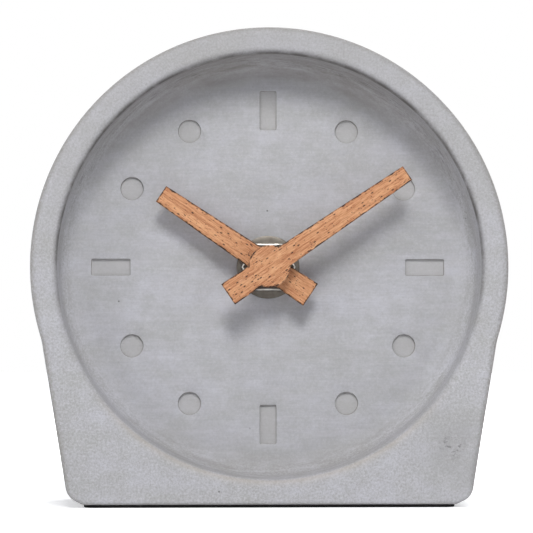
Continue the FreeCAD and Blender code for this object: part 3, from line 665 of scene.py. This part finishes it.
# Each ring of the nut: its radius, or its distance from the flats if not above 1; its
# depth behind the nut's front; and how much painted highlight it carries.
nut_rings = ((bush_radius, 0.35, 0.0), (bush_radius + 0.35, 0.0, 0.3), (bush_radius + 0.5, 0.0, 0.0),
             (-0.50, 0.0, 0.0), (-0.38, 0.0, 1.0), (-0.20, 0.08, 1.0), (-0.06, 0.24, 1.0), (0.0, 0.50, 0.6),
             (0.0, 0.75, 0.0), (0.0, 2.2, 0.0), (-0.3, 2.5, 0.5), (bush_radius + 0.35, 2.5, 0.0),
             (bush_radius, 2.15, 0.0))
nut_points = []
for reach, y, painted_light in nut_rings:
    for column in range(nut_columns):
        turn = tau * column / nut_columns
        flat_reach = nut_flat / cos((turn % (pi / 3)) - pi / 6)
        chamfer = max(flat_reach - nut_chamfer_radius, 0.0) * 0.58 if reach <= 0.0 and y < 0.7 else 0.0
        radius = reach if reach > 1.0 else flat_reach + reach
        nut_points.append(about_axis(radius, nut_front + y + chamfer, turn))
nut = mesh_from("dial_nut", nut_points, ring_faces(len(nut_rings), nut_columns), nut_nickel, 25.0)
# Painted highlights on the nut's chamfers and edges.
marked_painted_light(nut, [painted_light for reach, y, painted_light in nut_rings], nut_columns)
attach(nut, "clock")
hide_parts("hex_nut")


# Threaded bush: nickel-plated tube moulded into the movement's front, with a rolled
# thread. It holds the whole movement on the dial wall.

bush_low, bush_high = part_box("threaded_bush")
bush_tip = bush_low.y / MM
bush_back = bush_high.y / MM
thread_pitch = 0.75
thread_depth = 0.36
thread_length = bush_back - bush_tip - 0.4
bush_columns = 64
rows = int(thread_length / thread_pitch * 6)
bush_rings = []
for row in range(rows + 1):
    y = bush_tip + 0.4 + thread_length * row / rows
    fading = min(1.0, (bush_back - y) / 2.0)
    winding = [(y / thread_pitch + column / bush_columns) % 1.0 for column in range(bush_columns)]
    bush_rings.append([(bush_radius - thread_depth * abs(2 * way - 1.0) * fading, y) for way in winding])
for radius, y in ((2.6, bush_back), (2.5, bush_back - 0.1), (2.5, bush_tip + 0.2), (2.7, bush_tip),
                  (3.35, bush_tip), (3.62, bush_tip + 0.15)):
    bush_rings.append([(radius, y)] * bush_columns)
bush = mesh_from("bush_tube", [about_axis(radius, y, tau * column / bush_columns)
                               for ring in bush_rings for column, (radius, y) in enumerate(ring)],
                 ring_faces(len(bush_rings), bush_columns), nickel, 50.0)
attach(bush, "clock")
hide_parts("threaded_bush")


# Hands: laser cut from one thin sheet of pale reddish hardwood, with the grain along
# each blade. The beam left the cut sides dark and a scorched line along every edge.

hub_radius = 5.3
hole_columns = 48


def hand_outline(reach, tail, tip_width, tail_width):
    """Outline of the right half, tip to tail, as (across, along) points; the hub bulges out."""
    def half_width(along):
        return (tip_width + (tail_width - tip_width) * (reach - along) / (reach + tail)) / 2

    def hub_end(side):
        """Where the blade meets the hub's circle, on the tip's side (1) or the tail's (-1)."""
        along = sqrt(hub_radius ** 2 - half_width(0.0) ** 2)
        for attempt in range(20):
            along = sqrt(hub_radius ** 2 - half_width(side * along) ** 2)
        return side * along

    def blade(start, end, steps):
        return [(half_width(along), along)
                for along in [start + (end - start) * step / steps for step in range(steps + 1)]]

    rise, fall = hub_end(1), hub_end(-1)
    hub = arc_about((0.0, 0.0), hub_radius, atan2(rise, half_width(rise)), atan2(fall, half_width(fall)), 20)
    return blade(reach, rise, 10)[:-1] + hub + blade(fall, -tail, 3)[1:]


def offset_outline(outline, inset):
    """Closed outline moved inwards by mitred corners; it runs clockwise."""
    moved = []
    count = len(outline)
    for index, (x, z) in enumerate(outline):
        before = (Vector((x, z)) - Vector(outline[index - 1])).normalized()
        after = (Vector(outline[(index + 1) % count]) - Vector((x, z))).normalized()
        left = Vector((-before.y, before.x)) + Vector((-after.y, after.x))
        left = left / max(left.length_squared / 2, 0.3)
        moved.append((x - left.x * inset, z - left.y * inset))
    return moved


def wooden_hand(name, reach, tail, widths, faces_y, angle, material, hole=None):
    """Flat hand pointing at the angle, with a scorch attribute that fades in from its edges."""
    right = hand_outline(reach, tail, *widths)
    outline = right + [(-x, z) for x, z in reversed(right)]
    front_y, back_y = faces_y
    levels = ((0.60, front_y, 0.0), (0.17, front_y, 1.0), (0.03, front_y + 0.04, 1.0),
              (0.0, front_y + 0.12, 1.0), (0.0, back_y - 0.12, 1.0), (0.03, back_y - 0.04, 1.0),
              (0.17, back_y, 1.0), (0.60, back_y, 0.0))
    shell = bmesh.new()
    scorch = shell.verts.layers.float.new("scorch")
    turn = radians(angle)

    def ring_at(places, y, amount):
        ring = [shell.verts.new((x * MM, y * MM, z * MM)) for x, z in places]
        for vertex in ring:
            vertex[scorch] = amount
        return ring

    def walled(first, second):
        for corners in zip(first, second, second[1:] + second[:1], first[1:] + first[:1]):
            shell.faces.new(corners)

    rings = [ring_at([(x * cos(turn) + z * sin(turn), axis_z - x * sin(turn) + z * cos(turn))
                      for x, z in offset_outline(outline, inset)], y, amount) for inset, y, amount in levels]
    for first, second in zip(rings, rings[1:]):
        walled(first, second)
    rims = [[rings[0]], [rings[-1]]]
    if hole:
        circle = [(hole * cos(way), axis_z + hole * sin(way))
                  for way in [tau * step / hole_columns for step in range(hole_columns)]]
        holes = [ring_at(circle, y, 0.8) for y in (front_y, back_y)]
        walled(*holes)
        for rim, ring in zip(rims, holes):
            rim.append(ring)
    for rim in rims:
        edges = [shell.edges.get(ends) for ring in rim for ends in zip(ring, ring[1:] + ring[:1])]
        bmesh.ops.triangle_fill(shell, edges=edges, use_beauty=True)
    bmesh.ops.recalc_face_normals(shell, faces=shell.faces)
    mesh = bpy.data.meshes.new(name)
    shell.to_mesh(mesh)
    shell.free()
    mesh.materials.append(material)
    shaded(mesh, 25.0)
    return shown(name, mesh)


def hand_wood(name, angle, seed):
    """Hardwood veneer ply cut by laser: open pores along the blade, brown to black at the cut."""
    material, tree, shader, where = finish_named(name)
    turn = radians(angle)
    centred = add(tree, "ShaderNodeVectorMath", {0: where, 1: (0.0, 0.0, -axis_z * MM)},
                  operation="ADD").outputs["Vector"]
    across, along = (add(tree, "ShaderNodeVectorMath", {0: centred, 1: line},
                         operation="DOT_PRODUCT").outputs["Value"]
                     for line in ((cos(turn), 0.0, -sin(turn)), (sin(turn), 0.0, cos(turn))))
    depth = add(tree, "ShaderNodeSeparateXYZ", {"Vector": where}).outputs["Y"]
    laid = add(tree, "ShaderNodeCombineXYZ", {"X": across, "Y": total(tree, (depth,), (seed,)),
                                              "Z": along}).outputs["Vector"]
    streaks = grained(tree, laid, (0.38, 1.2, 9.0), 4.0, 0.65)
    bands = grained(tree, laid, (2.0, 3.0, 24.0), 3.0)
    fibres = grained(tree, laid, (0.30, 0.6, 2.4), 2.0, 0.7)
    uneven = grained(tree, laid, (1.2, 1.2, 1.2), 2.0)
    coarse_pores = dotted(tree, laid, (0.80, 1.0, 1.8), (0.14, 0.26), 0.95, (0.30, 0.34))
    pores = dotted(tree, laid, (0.50, 0.6, 1.0), (0.14, 0.26), 0.80, (0.50, 0.54))
    burn = add(tree, "ShaderNodeAttribute", attribute_name="scorch", attribute_type="GEOMETRY").outputs["Fac"]
    burnt = total(tree, (burn,), ((uneven, 0.3, 0.7, -0.50, 0.25),))
    tone = layered(
        tree, "#c68d64", ((bands, 0.3, 0.7), "#d8a277"), ((streaks, 0.48, 0.64, 0.0, 0.75), "#a66a48"),
        ((fibres, 0.52, 0.66, 0.0, 0.80), "#a56442"), ((fibres, 0.44, 0.32, 0.0, 0.60), "#e4b38a"),
        (coarse_pores, "#40261e"), (pores, "#40261e"), ((burnt, 0.45, 1.0), "#35221a"))
    bump = add(tree, "ShaderNodeBump", {"Height": total(tree, (streaks,), (pores, -1.0)), "Strength": 0.5,
                                        "Distance": 0.06 * MM})
    fed(tree, shader, {"Base Color": tone, "Roughness": 0.62, "Specular IOR Level": 0.3,
                       "Normal": bump.outputs["Normal"]})
    return material


def faces_of(node):
    low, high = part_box(node)
    return low.y / MM, high.y / MM


minute_angle = 55.9
hour_angle = -56.0
minute_wood = hand_wood("Laser-cut hardwood, long hand", minute_angle, 0.0)
hour_wood = hand_wood("Laser-cut hardwood, short hand", hour_angle, 0.02)
long_hand = wooden_hand("long_hand", mark_circle + 2.0, 12.6, (4.2, 6.2), faces_of("minute_hand"),
                        minute_angle, minute_wood)
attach(long_hand, "minute_assembly")
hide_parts("minute_hand")
short_hand = wooden_hand("short_hand", mark_circle - 7.1, 12.7, (4.7, 6.7), faces_of("hour_hand"),
                         hour_angle, hour_wood, hole=3.02)
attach(short_hand, "hour_assembly")
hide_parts("hour_hand")


# Hand collars: short brass tubes pressed on the hour tube and the minute arbor. Each
# is riveted into its hand and gives it its grip.

# Brass, turned and left bright: yellow metal with a slightly uneven sheen.
brass = worked_finish("Turned brass", "#b48f48", "#c9a659", (1.5, 1.5, 1.5), (0.38, 0.26), 0.01, metal=1.0)
for name, node, outer, inner in (("long_hand_collar", "minute_hand_bush", 3.0, 1.5),
                                 ("short_hand_collar", "hour_hand_bush", 3.02, 2.42)):
    y0, y1 = faces_of(node)
    collar = turned(name, [
        (inner, y0 + eased), (inner + eased, y0), (outer - eased, y0), (outer, y0 + eased),
        (outer, y1 - eased), (outer - eased, y1), (inner + eased, y1), (inner, y1 - eased)], 64, brass)
    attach(collar, "minute_assembly" if node == "minute_hand_bush" else "hour_assembly")
    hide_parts(node)


# Movement housing: front shell and rear cover, moulded in black plastic. The cover
# snaps over the gear room, and the open bay below it holds the cell.

# ABS, moulded against a spark-eroded tool: fine leathery grain and a low sheen.
black_plastic = worked_finish("Moulded black ABS", "#18181a", "#202022", (0.35, 0.35, 0.35), (0.42, 0.56),
                              0.05)
for name, node, width in (("housing_shell", "movement_front_shell", 0.2),
                          ("housing_cover", "rear_cover", 0.25)):
    part = eased_copy(name, node, width, 2, black_plastic)
    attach(part, "clock")
    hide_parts(node)

# Mouldings on the rear cover, in the same plastic and shot: half-round ribs, rings over
# the bearings, snap tabs, a double arrow over the knob and the cell's two signs.
cover_low, cover_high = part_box("rear_cover")
cover_face = cover_high.y / MM
cover_top = cover_high.z / MM
knob_low, knob_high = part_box("setting_wheel")
knob_axis = ((knob_low.x + knob_high.x) / 2 / MM, (knob_low.z + knob_high.z) / 2 / MM)


def raised(name, outlines, height):
    """Flat shapes standing on the cover's face, each from a closed (x, z) outline."""
    points, faces = [], []
    for outline in outlines:
        start, count = len(points), len(outline)
        points += [(x, y, z) for y in (cover_face - 0.2, cover_face + height) for x, z in outline]
        faces.append(tuple(range(start, start + count)))
        faces.append(tuple(range(start + count, start + 2 * count)))
        faces += [(start + index, start + (index + 1) % count, start + count + (index + 1) % count,
                   start + count + index) for index in range(count)]
    thing = mesh_from(name, points, faces, black_plastic)
    bevel = thing.modifiers.new("Eased edges", "BEVEL")
    bevel.width = 0.1 * MM
    bevel.segments = 2
    shaded(worked_in(thing), 40.0)
    return thing


def spot(centre, outline):
    return [(centre[0] + x, centre[1] + z) for x, z in outline]


def double_arrow(centre, radius, width, start, end):
    """Band round a centre that ends in a point each way."""
    steps = 24
    head = radians(16)
    inner = [(radius - width / 2, start + (end - start) * step / steps) for step in range(steps + 1)]
    outer = [(radius + width / 2, turn) for gone, turn in reversed(inner)]
    path = [(radius, start - head), (radius - width * 1.6, start)] + inner + [
        (radius - width * 1.6, end), (radius, end + head), (radius + width * 1.6, end)] + outer + [
        (radius + width * 1.6, start)]
    return [(centre[0] + reach * cos(turn), centre[1] + reach * sin(turn)) for reach, turn in path]


plus_sign = [(-1.6, -0.4), (-0.4, -0.4), (-0.4, -1.6), (0.4, -1.6), (0.4, -0.4), (1.6, -0.4), (1.6, 0.4),
             (0.4, 0.4), (0.4, 1.6), (-0.4, 1.6), (-0.4, 0.4), (-1.6, 0.4)]
bar_sign, tab, side_tab = ([place for place, facing in eased_rectangle(*sizes)]
                           for sizes in ((3.2, 0.8, 0.2, 2), (7.0, 2.4, 0.5, 3), (2.4, 7.0, 0.5, 3)))
sign_z = cover_low.z / MM + 3.4
mouldings = raised("cover_signs", [
    double_arrow(knob_axis, 8.0, 0.7, radians(28), radians(152)),
    spot((24.2, sign_z), plus_sign), spot((-25.2, sign_z), bar_sign),
    spot((-14.0, cover_top - 2.0), tab), spot((14.0, cover_top - 2.0), tab),
    spot((-26.0, cover_top - 16.0), side_tab), spot((26.0, cover_top - 16.0), side_tab)], 0.4)
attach(mouldings, "clock")

tree, given, result = tree_with("Row of half-round ribs", (
    ("Rib count", "NodeSocketInt"), ("Rib pitch", "NodeSocketFloat"), ("Rib length", "NodeSocketFloat"),
    ("Rib radius", "NodeSocketFloat"), ("First rib", "NodeSocketVector"), ("Material", "NodeSocketMaterial")))
pitch = add(tree, "ShaderNodeCombineXYZ", {"Z": given["Rib pitch"]}).outputs["Vector"]
row = add(tree, "GeometryNodeMeshLine", {"Count": given["Rib count"], "Start Location": given["First rib"],
                                         "Offset": pitch}).outputs["Mesh"]
length = add(tree, "ShaderNodeCombineXYZ", {"X": given["Rib length"]}).outputs["Vector"]
run = add(tree, "GeometryNodeCurvePrimitiveLine", {"End": length}).outputs["Curve"]
section = add(tree, "GeometryNodeCurvePrimitiveCircle", {"Resolution": 16, "Radius": given["Rib radius"]})
rod = add(tree, "GeometryNodeCurveToMesh", {"Curve": run, "Profile Curve": section.outputs["Curve"],
                                            "Fill Caps": True}).outputs["Mesh"]
placed = add(tree, "GeometryNodeInstanceOnPoints", {"Points": row, "Instance": rod}).outputs["Instances"]
delivered(tree, placed, given, result)
ribs = grown("cover_ribs", tree, {
    "Rib count": 5, "Rib pitch": 2.6 * MM, "Rib length": 24.0 * MM, "Rib radius": 0.4 * MM,
    "First rib": (-12.0 * MM, cover_face * MM, (cover_top - 19.0) * MM), "Material": black_plastic})
shaded(ribs.data, 50.0)
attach(ribs, "clock")

for place, (x, z) in enumerate(((6.0, -4.5), (17.0, 2.0), (17.0, 14.0))):
    ring = turned("bearing_ring_%d" % place, [
        (1.7, cover_face - 0.2), (1.7, cover_face + 0.2), (1.8, cover_face + 0.3), (2.2, cover_face + 0.3),
        (2.3, cover_face + 0.2), (2.3, cover_face - 0.2)], 40, black_plastic, centre=(x, axis_z + z))
    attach(ring, "clock")


# Setting knob: moulded in one with its shaft and pinion, in black plastic. Its serrated
# rim is turned by a finger to set the hands.
knob = eased_copy("setting_knob", "setting_wheel", 0.08, 2, black_plastic)
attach(knob, "setting_assembly")
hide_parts("setting_wheel")


# Inside the movement: gasket, plates, motor, board and wheels between shell and cover,
# moulded, stamped or turned. They only show when the movement is opened.

# Solid rubber, die cut: dull black and smooth.
rubber = worked_finish("Black rubber", "#19191a", "#212122", (1.2, 1.2, 1.2), (0.70, 0.80), 0.03)
# Acetal in its natural white, moulded: faint flow marks and a waxy sheen.
acetal = worked_finish("Natural acetal", "#dcdbd4", "#e6e5df", (4.0, 4.0, 1.5), (0.40, 0.50), 0.02)
# Acetal of the wheels: creamier, with a finer tool finish.
wheel_acetal = worked_finish("Cream acetal", "#ded7c3", "#e8e2d0", (1.0, 1.0, 1.0), (0.34, 0.44), 0.01)
# Soft iron sheet, stamped and annealed: grey, drawn out along the rolling direction.
iron = worked_finish("Annealed iron sheet", "#84878b", "#a0a2a5", (6.0, 0.5, 0.25), (0.36, 0.50), 0.01,
                     metal=1.0)
# Glass-cloth board under solder mask: green, woven, fairly glossy.
solder_mask = worked_finish("Green solder mask", "#174a2c", "#1f5a36", (0.8, 0.8, 0.3), (0.28, 0.36), 0.02)
# Cast resin over the chip: black and glossy, slumped.
resin = worked_finish("Black casting resin", "#101011", "#171718", (1.4, 1.4, 1.4), (0.16, 0.26), 0.08)
# Drawn steel can, plated: bright, with lines along the draw.
drawn_steel = worked_finish("Drawn plated steel", "#b5b6b9", "#cccdd0", (0.15, 0.15, 4.0), (0.18, 0.28), 0.01,
                            metal=1.0)
# Sintered magnet, ground: dark grey, fine and dull.
sintered = worked_finish("Sintered magnet", "#3a3a3d", "#4a4a4e", (0.2, 0.2, 0.2), (0.50, 0.62), 0.02,
                         metal=0.6)
# Enamelled wire: copper-red and glossy.
enamel = worked_finish("Enamelled copper wire", "#8a4826", "#b4683c", (2.0, 0.2, 0.2), (0.24, 0.34), 0.01,
                       metal=1.0)

for name, node, body, slot, width, material in (
        ("gasket_square", "rubber_gasket", "clock", "black_rubber", 0.10, rubber),
        ("works_plate", "middle_plate", "clock", "white_plastic", 0.10, acetal),
        ("bobbin", "coil_bobbin", "clock", "white_plastic", 0.12, acetal),
        ("stator", "stator_plate", "clock", "stator_iron", 0.06, iron),
        ("core_bar", "coil_core", "clock", "stator_iron", 0.06, iron),
        ("clock_board", "circuit_board", "clock", "board_green", 0.05, solder_mask),
        ("resin_blob", "timing_chip", "clock", "chip_resin", 0.45, resin),
        ("crystal_can", "quartz_crystal", "clock", "crystal_can", 0.15, drawn_steel),
        ("rotor_magnet_ring", "rotor_magnet", "rotor", "magnet", 0.08, sintered),
        ("rotor_arbor", "rotor_pinion", "rotor", "wheel_plastic", 0.05, wheel_acetal),
        ("first_wheel", "intermediate_wheel", "intermediate_train", "wheel_plastic", 0.05, wheel_acetal),
        ("second_wheel", "seconds_wheel", "seconds_train", "wheel_plastic", 0.05, wheel_acetal),
        ("reduction_wheel", "third_wheel", "third_train", "wheel_plastic", 0.05, wheel_acetal),
        ("friction_wheel", "centre_wheel", "centre_train", "wheel_plastic", 0.05, wheel_acetal),
        ("works_wheel", "minute_works_wheel", "minute_works", "wheel_plastic", 0.05, wheel_acetal),
        ("hour_tube_wheel", "hour_wheel", "hour_assembly", "wheel_plastic", 0.05, wheel_acetal),
        ("cannon_arbor", "minute_arbor", "minute_assembly", "brass", 0.05, brass)):
    piece = eased_copy(name, node, width, 2, material)
    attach(piece, body)
    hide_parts(node)

# Coil: wire wound turn by turn on the bobbin, each turn drawn 0.3 mm wide, about ten
# times the real wire, so that it shows.
coil_low, coil_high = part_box("coil_winding")
coil_centre = ((coil_low.y + coil_high.y) / 2 / MM, (coil_low.z + coil_high.z) / 2 / MM)
coil_width = (coil_high.z - coil_low.z) / MM
bobbin_tube = 4.2
steps = round((coil_high.x - coil_low.x) / MM / 0.3) * 6
coil_rings = [(0.0, bobbin_tube - coil_width)]
coil_rings += [(step / steps, -0.10 + 0.10 * abs(sin(pi * step / 6))) for step in range(steps + 1)]
coil_rings.append((1.0, bobbin_tube - coil_width))
coil_points = []
for share, growth in coil_rings:
    corner = 0.2 if growth < -1.0 else 0.9
    for (y, z), facing in eased_rectangle(coil_width + growth, coil_width + growth, corner, 4):
        coil_points.append(((coil_low.x + (coil_high.x - coil_low.x) * share) / MM, coil_centre[0] + y,
                            coil_centre[1] + z))
coil = mesh_from("wound_coil", coil_points, ring_faces(len(coil_rings), len(coil_points) // len(coil_rings)),
                 enamel, 50.0)
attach(coil, "clock")
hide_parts("coil_winding")


# Cell: a standard AA cell, a steel can in a printed plastic sleeve with a plain band
# of another colour at its positive end, and a pressed nickel-plated nub.
can_low, can_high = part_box("battery_can")
nub_low, nub_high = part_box("battery_cap")
cell_radius = (can_high.z - can_low.z) / 2 / MM
cell_y = (can_high.y + can_low.y) / 2 / MM
cell_z = (can_high.z + can_low.z) / 2 / MM
cell_left = can_low.x / MM
cell_right = can_high.x / MM
nub_end = nub_high.x / MM
band_width = 14.0

# Shrink sleeve: glossy film, pale grey with a plain slate-blue band.
sleeve, tree, shader, where = finish_named("Shrink sleeve film")
along = add(tree, "ShaderNodeSeparateXYZ", {"Vector": where}).outputs["X"]
band = (along, (cell_right - band_width - 0.1) * MM, (cell_right - band_width) * MM)
fed(tree, shader, {"Base Color": layered(tree, "#c3c6c9", (band, "#3d5266")), "Roughness": 0.28,
                   "Coat Weight": 0.4})


def turned_along_cell(name, profile, columns, material):
    """Closed solid turned about the cell's axis from (radius, x) points, closed at both ends."""
    points = [(x, cell_y + radius * cos(turn), cell_z + radius * sin(turn)) for radius, x in profile
              for turn in [tau * column / columns for column in range(columns)]]
    faces = ring_faces(len(profile), columns, closed=False)
    faces.append(tuple(range(columns)))
    faces.append(tuple(range((len(profile) - 1) * columns, len(profile) * columns)))
    return mesh_from(name, points, faces, material, 40.0)


can = turned_along_cell("cell_can", [
    (5.4, cell_left + 0.25), (5.6, cell_left), (6.6, cell_left), (cell_radius - 0.25, cell_left + 0.15),
    (cell_radius, cell_left + 0.6), (cell_radius, cell_right - 1.3), (cell_radius - 0.15, cell_right - 0.9),
    (6.3, cell_right - 0.45), (5.2, cell_right - 0.4), (4.4, cell_right - 0.1), (3.4, cell_right)],
    72, sleeve)
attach(can, "battery")
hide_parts("battery_can")
nub = turned_along_cell("cell_nub", [
    (2.75, cell_right), (2.75, nub_end - 0.35), (2.6, nub_end - 0.1), (2.3, nub_end)], 48, nickel)
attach(nub, "battery")
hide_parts("battery_cap")


# Contacts: strips of thin spring steel, nickel plated and bent to shape. One is pushed
# into each end of the battery bay.
for name, node in (("contact_plus", "positive_contact"), ("contact_minus", "negative_contact")):
    part = eased_copy(name, node, 0.06, 1, nickel)
    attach(part, "clock")
    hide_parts(node)


# Studio: white paper below and behind, one soft lamp high in front with softer ones
# round it, and an even white surrounding. The paper shows white and keeps the shadow.
paper, tree, shader, where = finish_named("White paper")
seen = add(tree, "ShaderNodeLightPath").outputs["Is Camera Ray"]
far = add(tree, "ShaderNodeVectorMath", {0: where}, operation="LENGTH").outputs["Value"]
fed(tree, shader, {"Base Color": linear("#f4f4f4"), "Roughness": 0.9, "Emission Color": linear("#ffffff"),
                   "Emission Strength": product(tree, seen, (far, 0.06, 0.30, 0.45, 1.0))})
floor_mesh = bpy.data.meshes.new("studio_floor")
floor_mesh.from_pydata([(-3, -3, 0), (3, -3, 0), (3, 3, 0), (-3, 3, 0)], [], [(0, 1, 2, 3)])
floor_mesh.materials.append(paper)
studio_floor = shown("studio_floor", floor_mesh)

world = bpy.data.worlds.new("Studio white")
bpy.context.scene.world = world
world.use_nodes = True
tree = world.node_tree
tree.nodes.clear()
path = add(tree, "ShaderNodeLightPath").outputs
seen = path["Is Camera Ray"]
for ray in ("Is Glossy Ray", "Is Transmission Ray"):
    seen = add(tree, "ShaderNodeMath", {0: seen, 1: path[ray]}, operation="MAXIMUM").outputs["Value"]
glow = add(tree, "ShaderNodeBackground", {"Color": layered(tree, "#e6ebfb", (seen, "#ffffff")),
                                          "Strength": product(tree, (seen, 0.0, 1.0, 0.2, 1.0))})
add(tree, "ShaderNodeOutputWorld", {"Surface": glow.outputs["Background"]})

lamp_distance = 1000.0
for name, bearing, rise, size, power in (
        ("Key lamp", 0.0, 42.0, 300.0, 6.15), ("Left lamp", -55.0, 22.0, 280.0, 1.55),
        ("Right lamp", 55.0, 22.0, 280.0, 0.5), ("Rear lamp", 160.0, 35.0, 600.0, 6.0)):
    lamp = bpy.data.lights.new(name, "AREA")
    lamp.shape = "RECTANGLE"
    lamp.size = lamp.size_y = size * MM
    lamp.energy = power
    around, climb = radians(bearing), radians(rise)
    back = Vector((sin(around) * cos(climb), -cos(around) * cos(climb), sin(climb)))
    thing = shown(name, lamp)
    thing.location = (Vector((0.0, 0.0, axis_z)) + back * lamp_distance) * MM
    thing.rotation_euler = back.to_track_quat("Z", "Y").to_euler()

# The camera stands a little to the left of and below the dial's centre.
lens = bpy.data.cameras.new("Camera")
lens.lens = 189.4
lens.sensor_width = 36.0
lens.clip_start = 0.01
camera = shown("Camera", lens)
camera.location = Vector((-29.0, front - 700.0, axis_z - 19.0)) * MM
aim = Vector((-0.96, front, axis_z - 0.17)) * MM
camera.rotation_euler = (aim - camera.location).to_track_quat("-Z", "Y").to_euler()
bpy.context.scene.camera = camera
bpy.context.scene.view_settings.view_transform = "Standard"

bpy.context.view_layer.update()
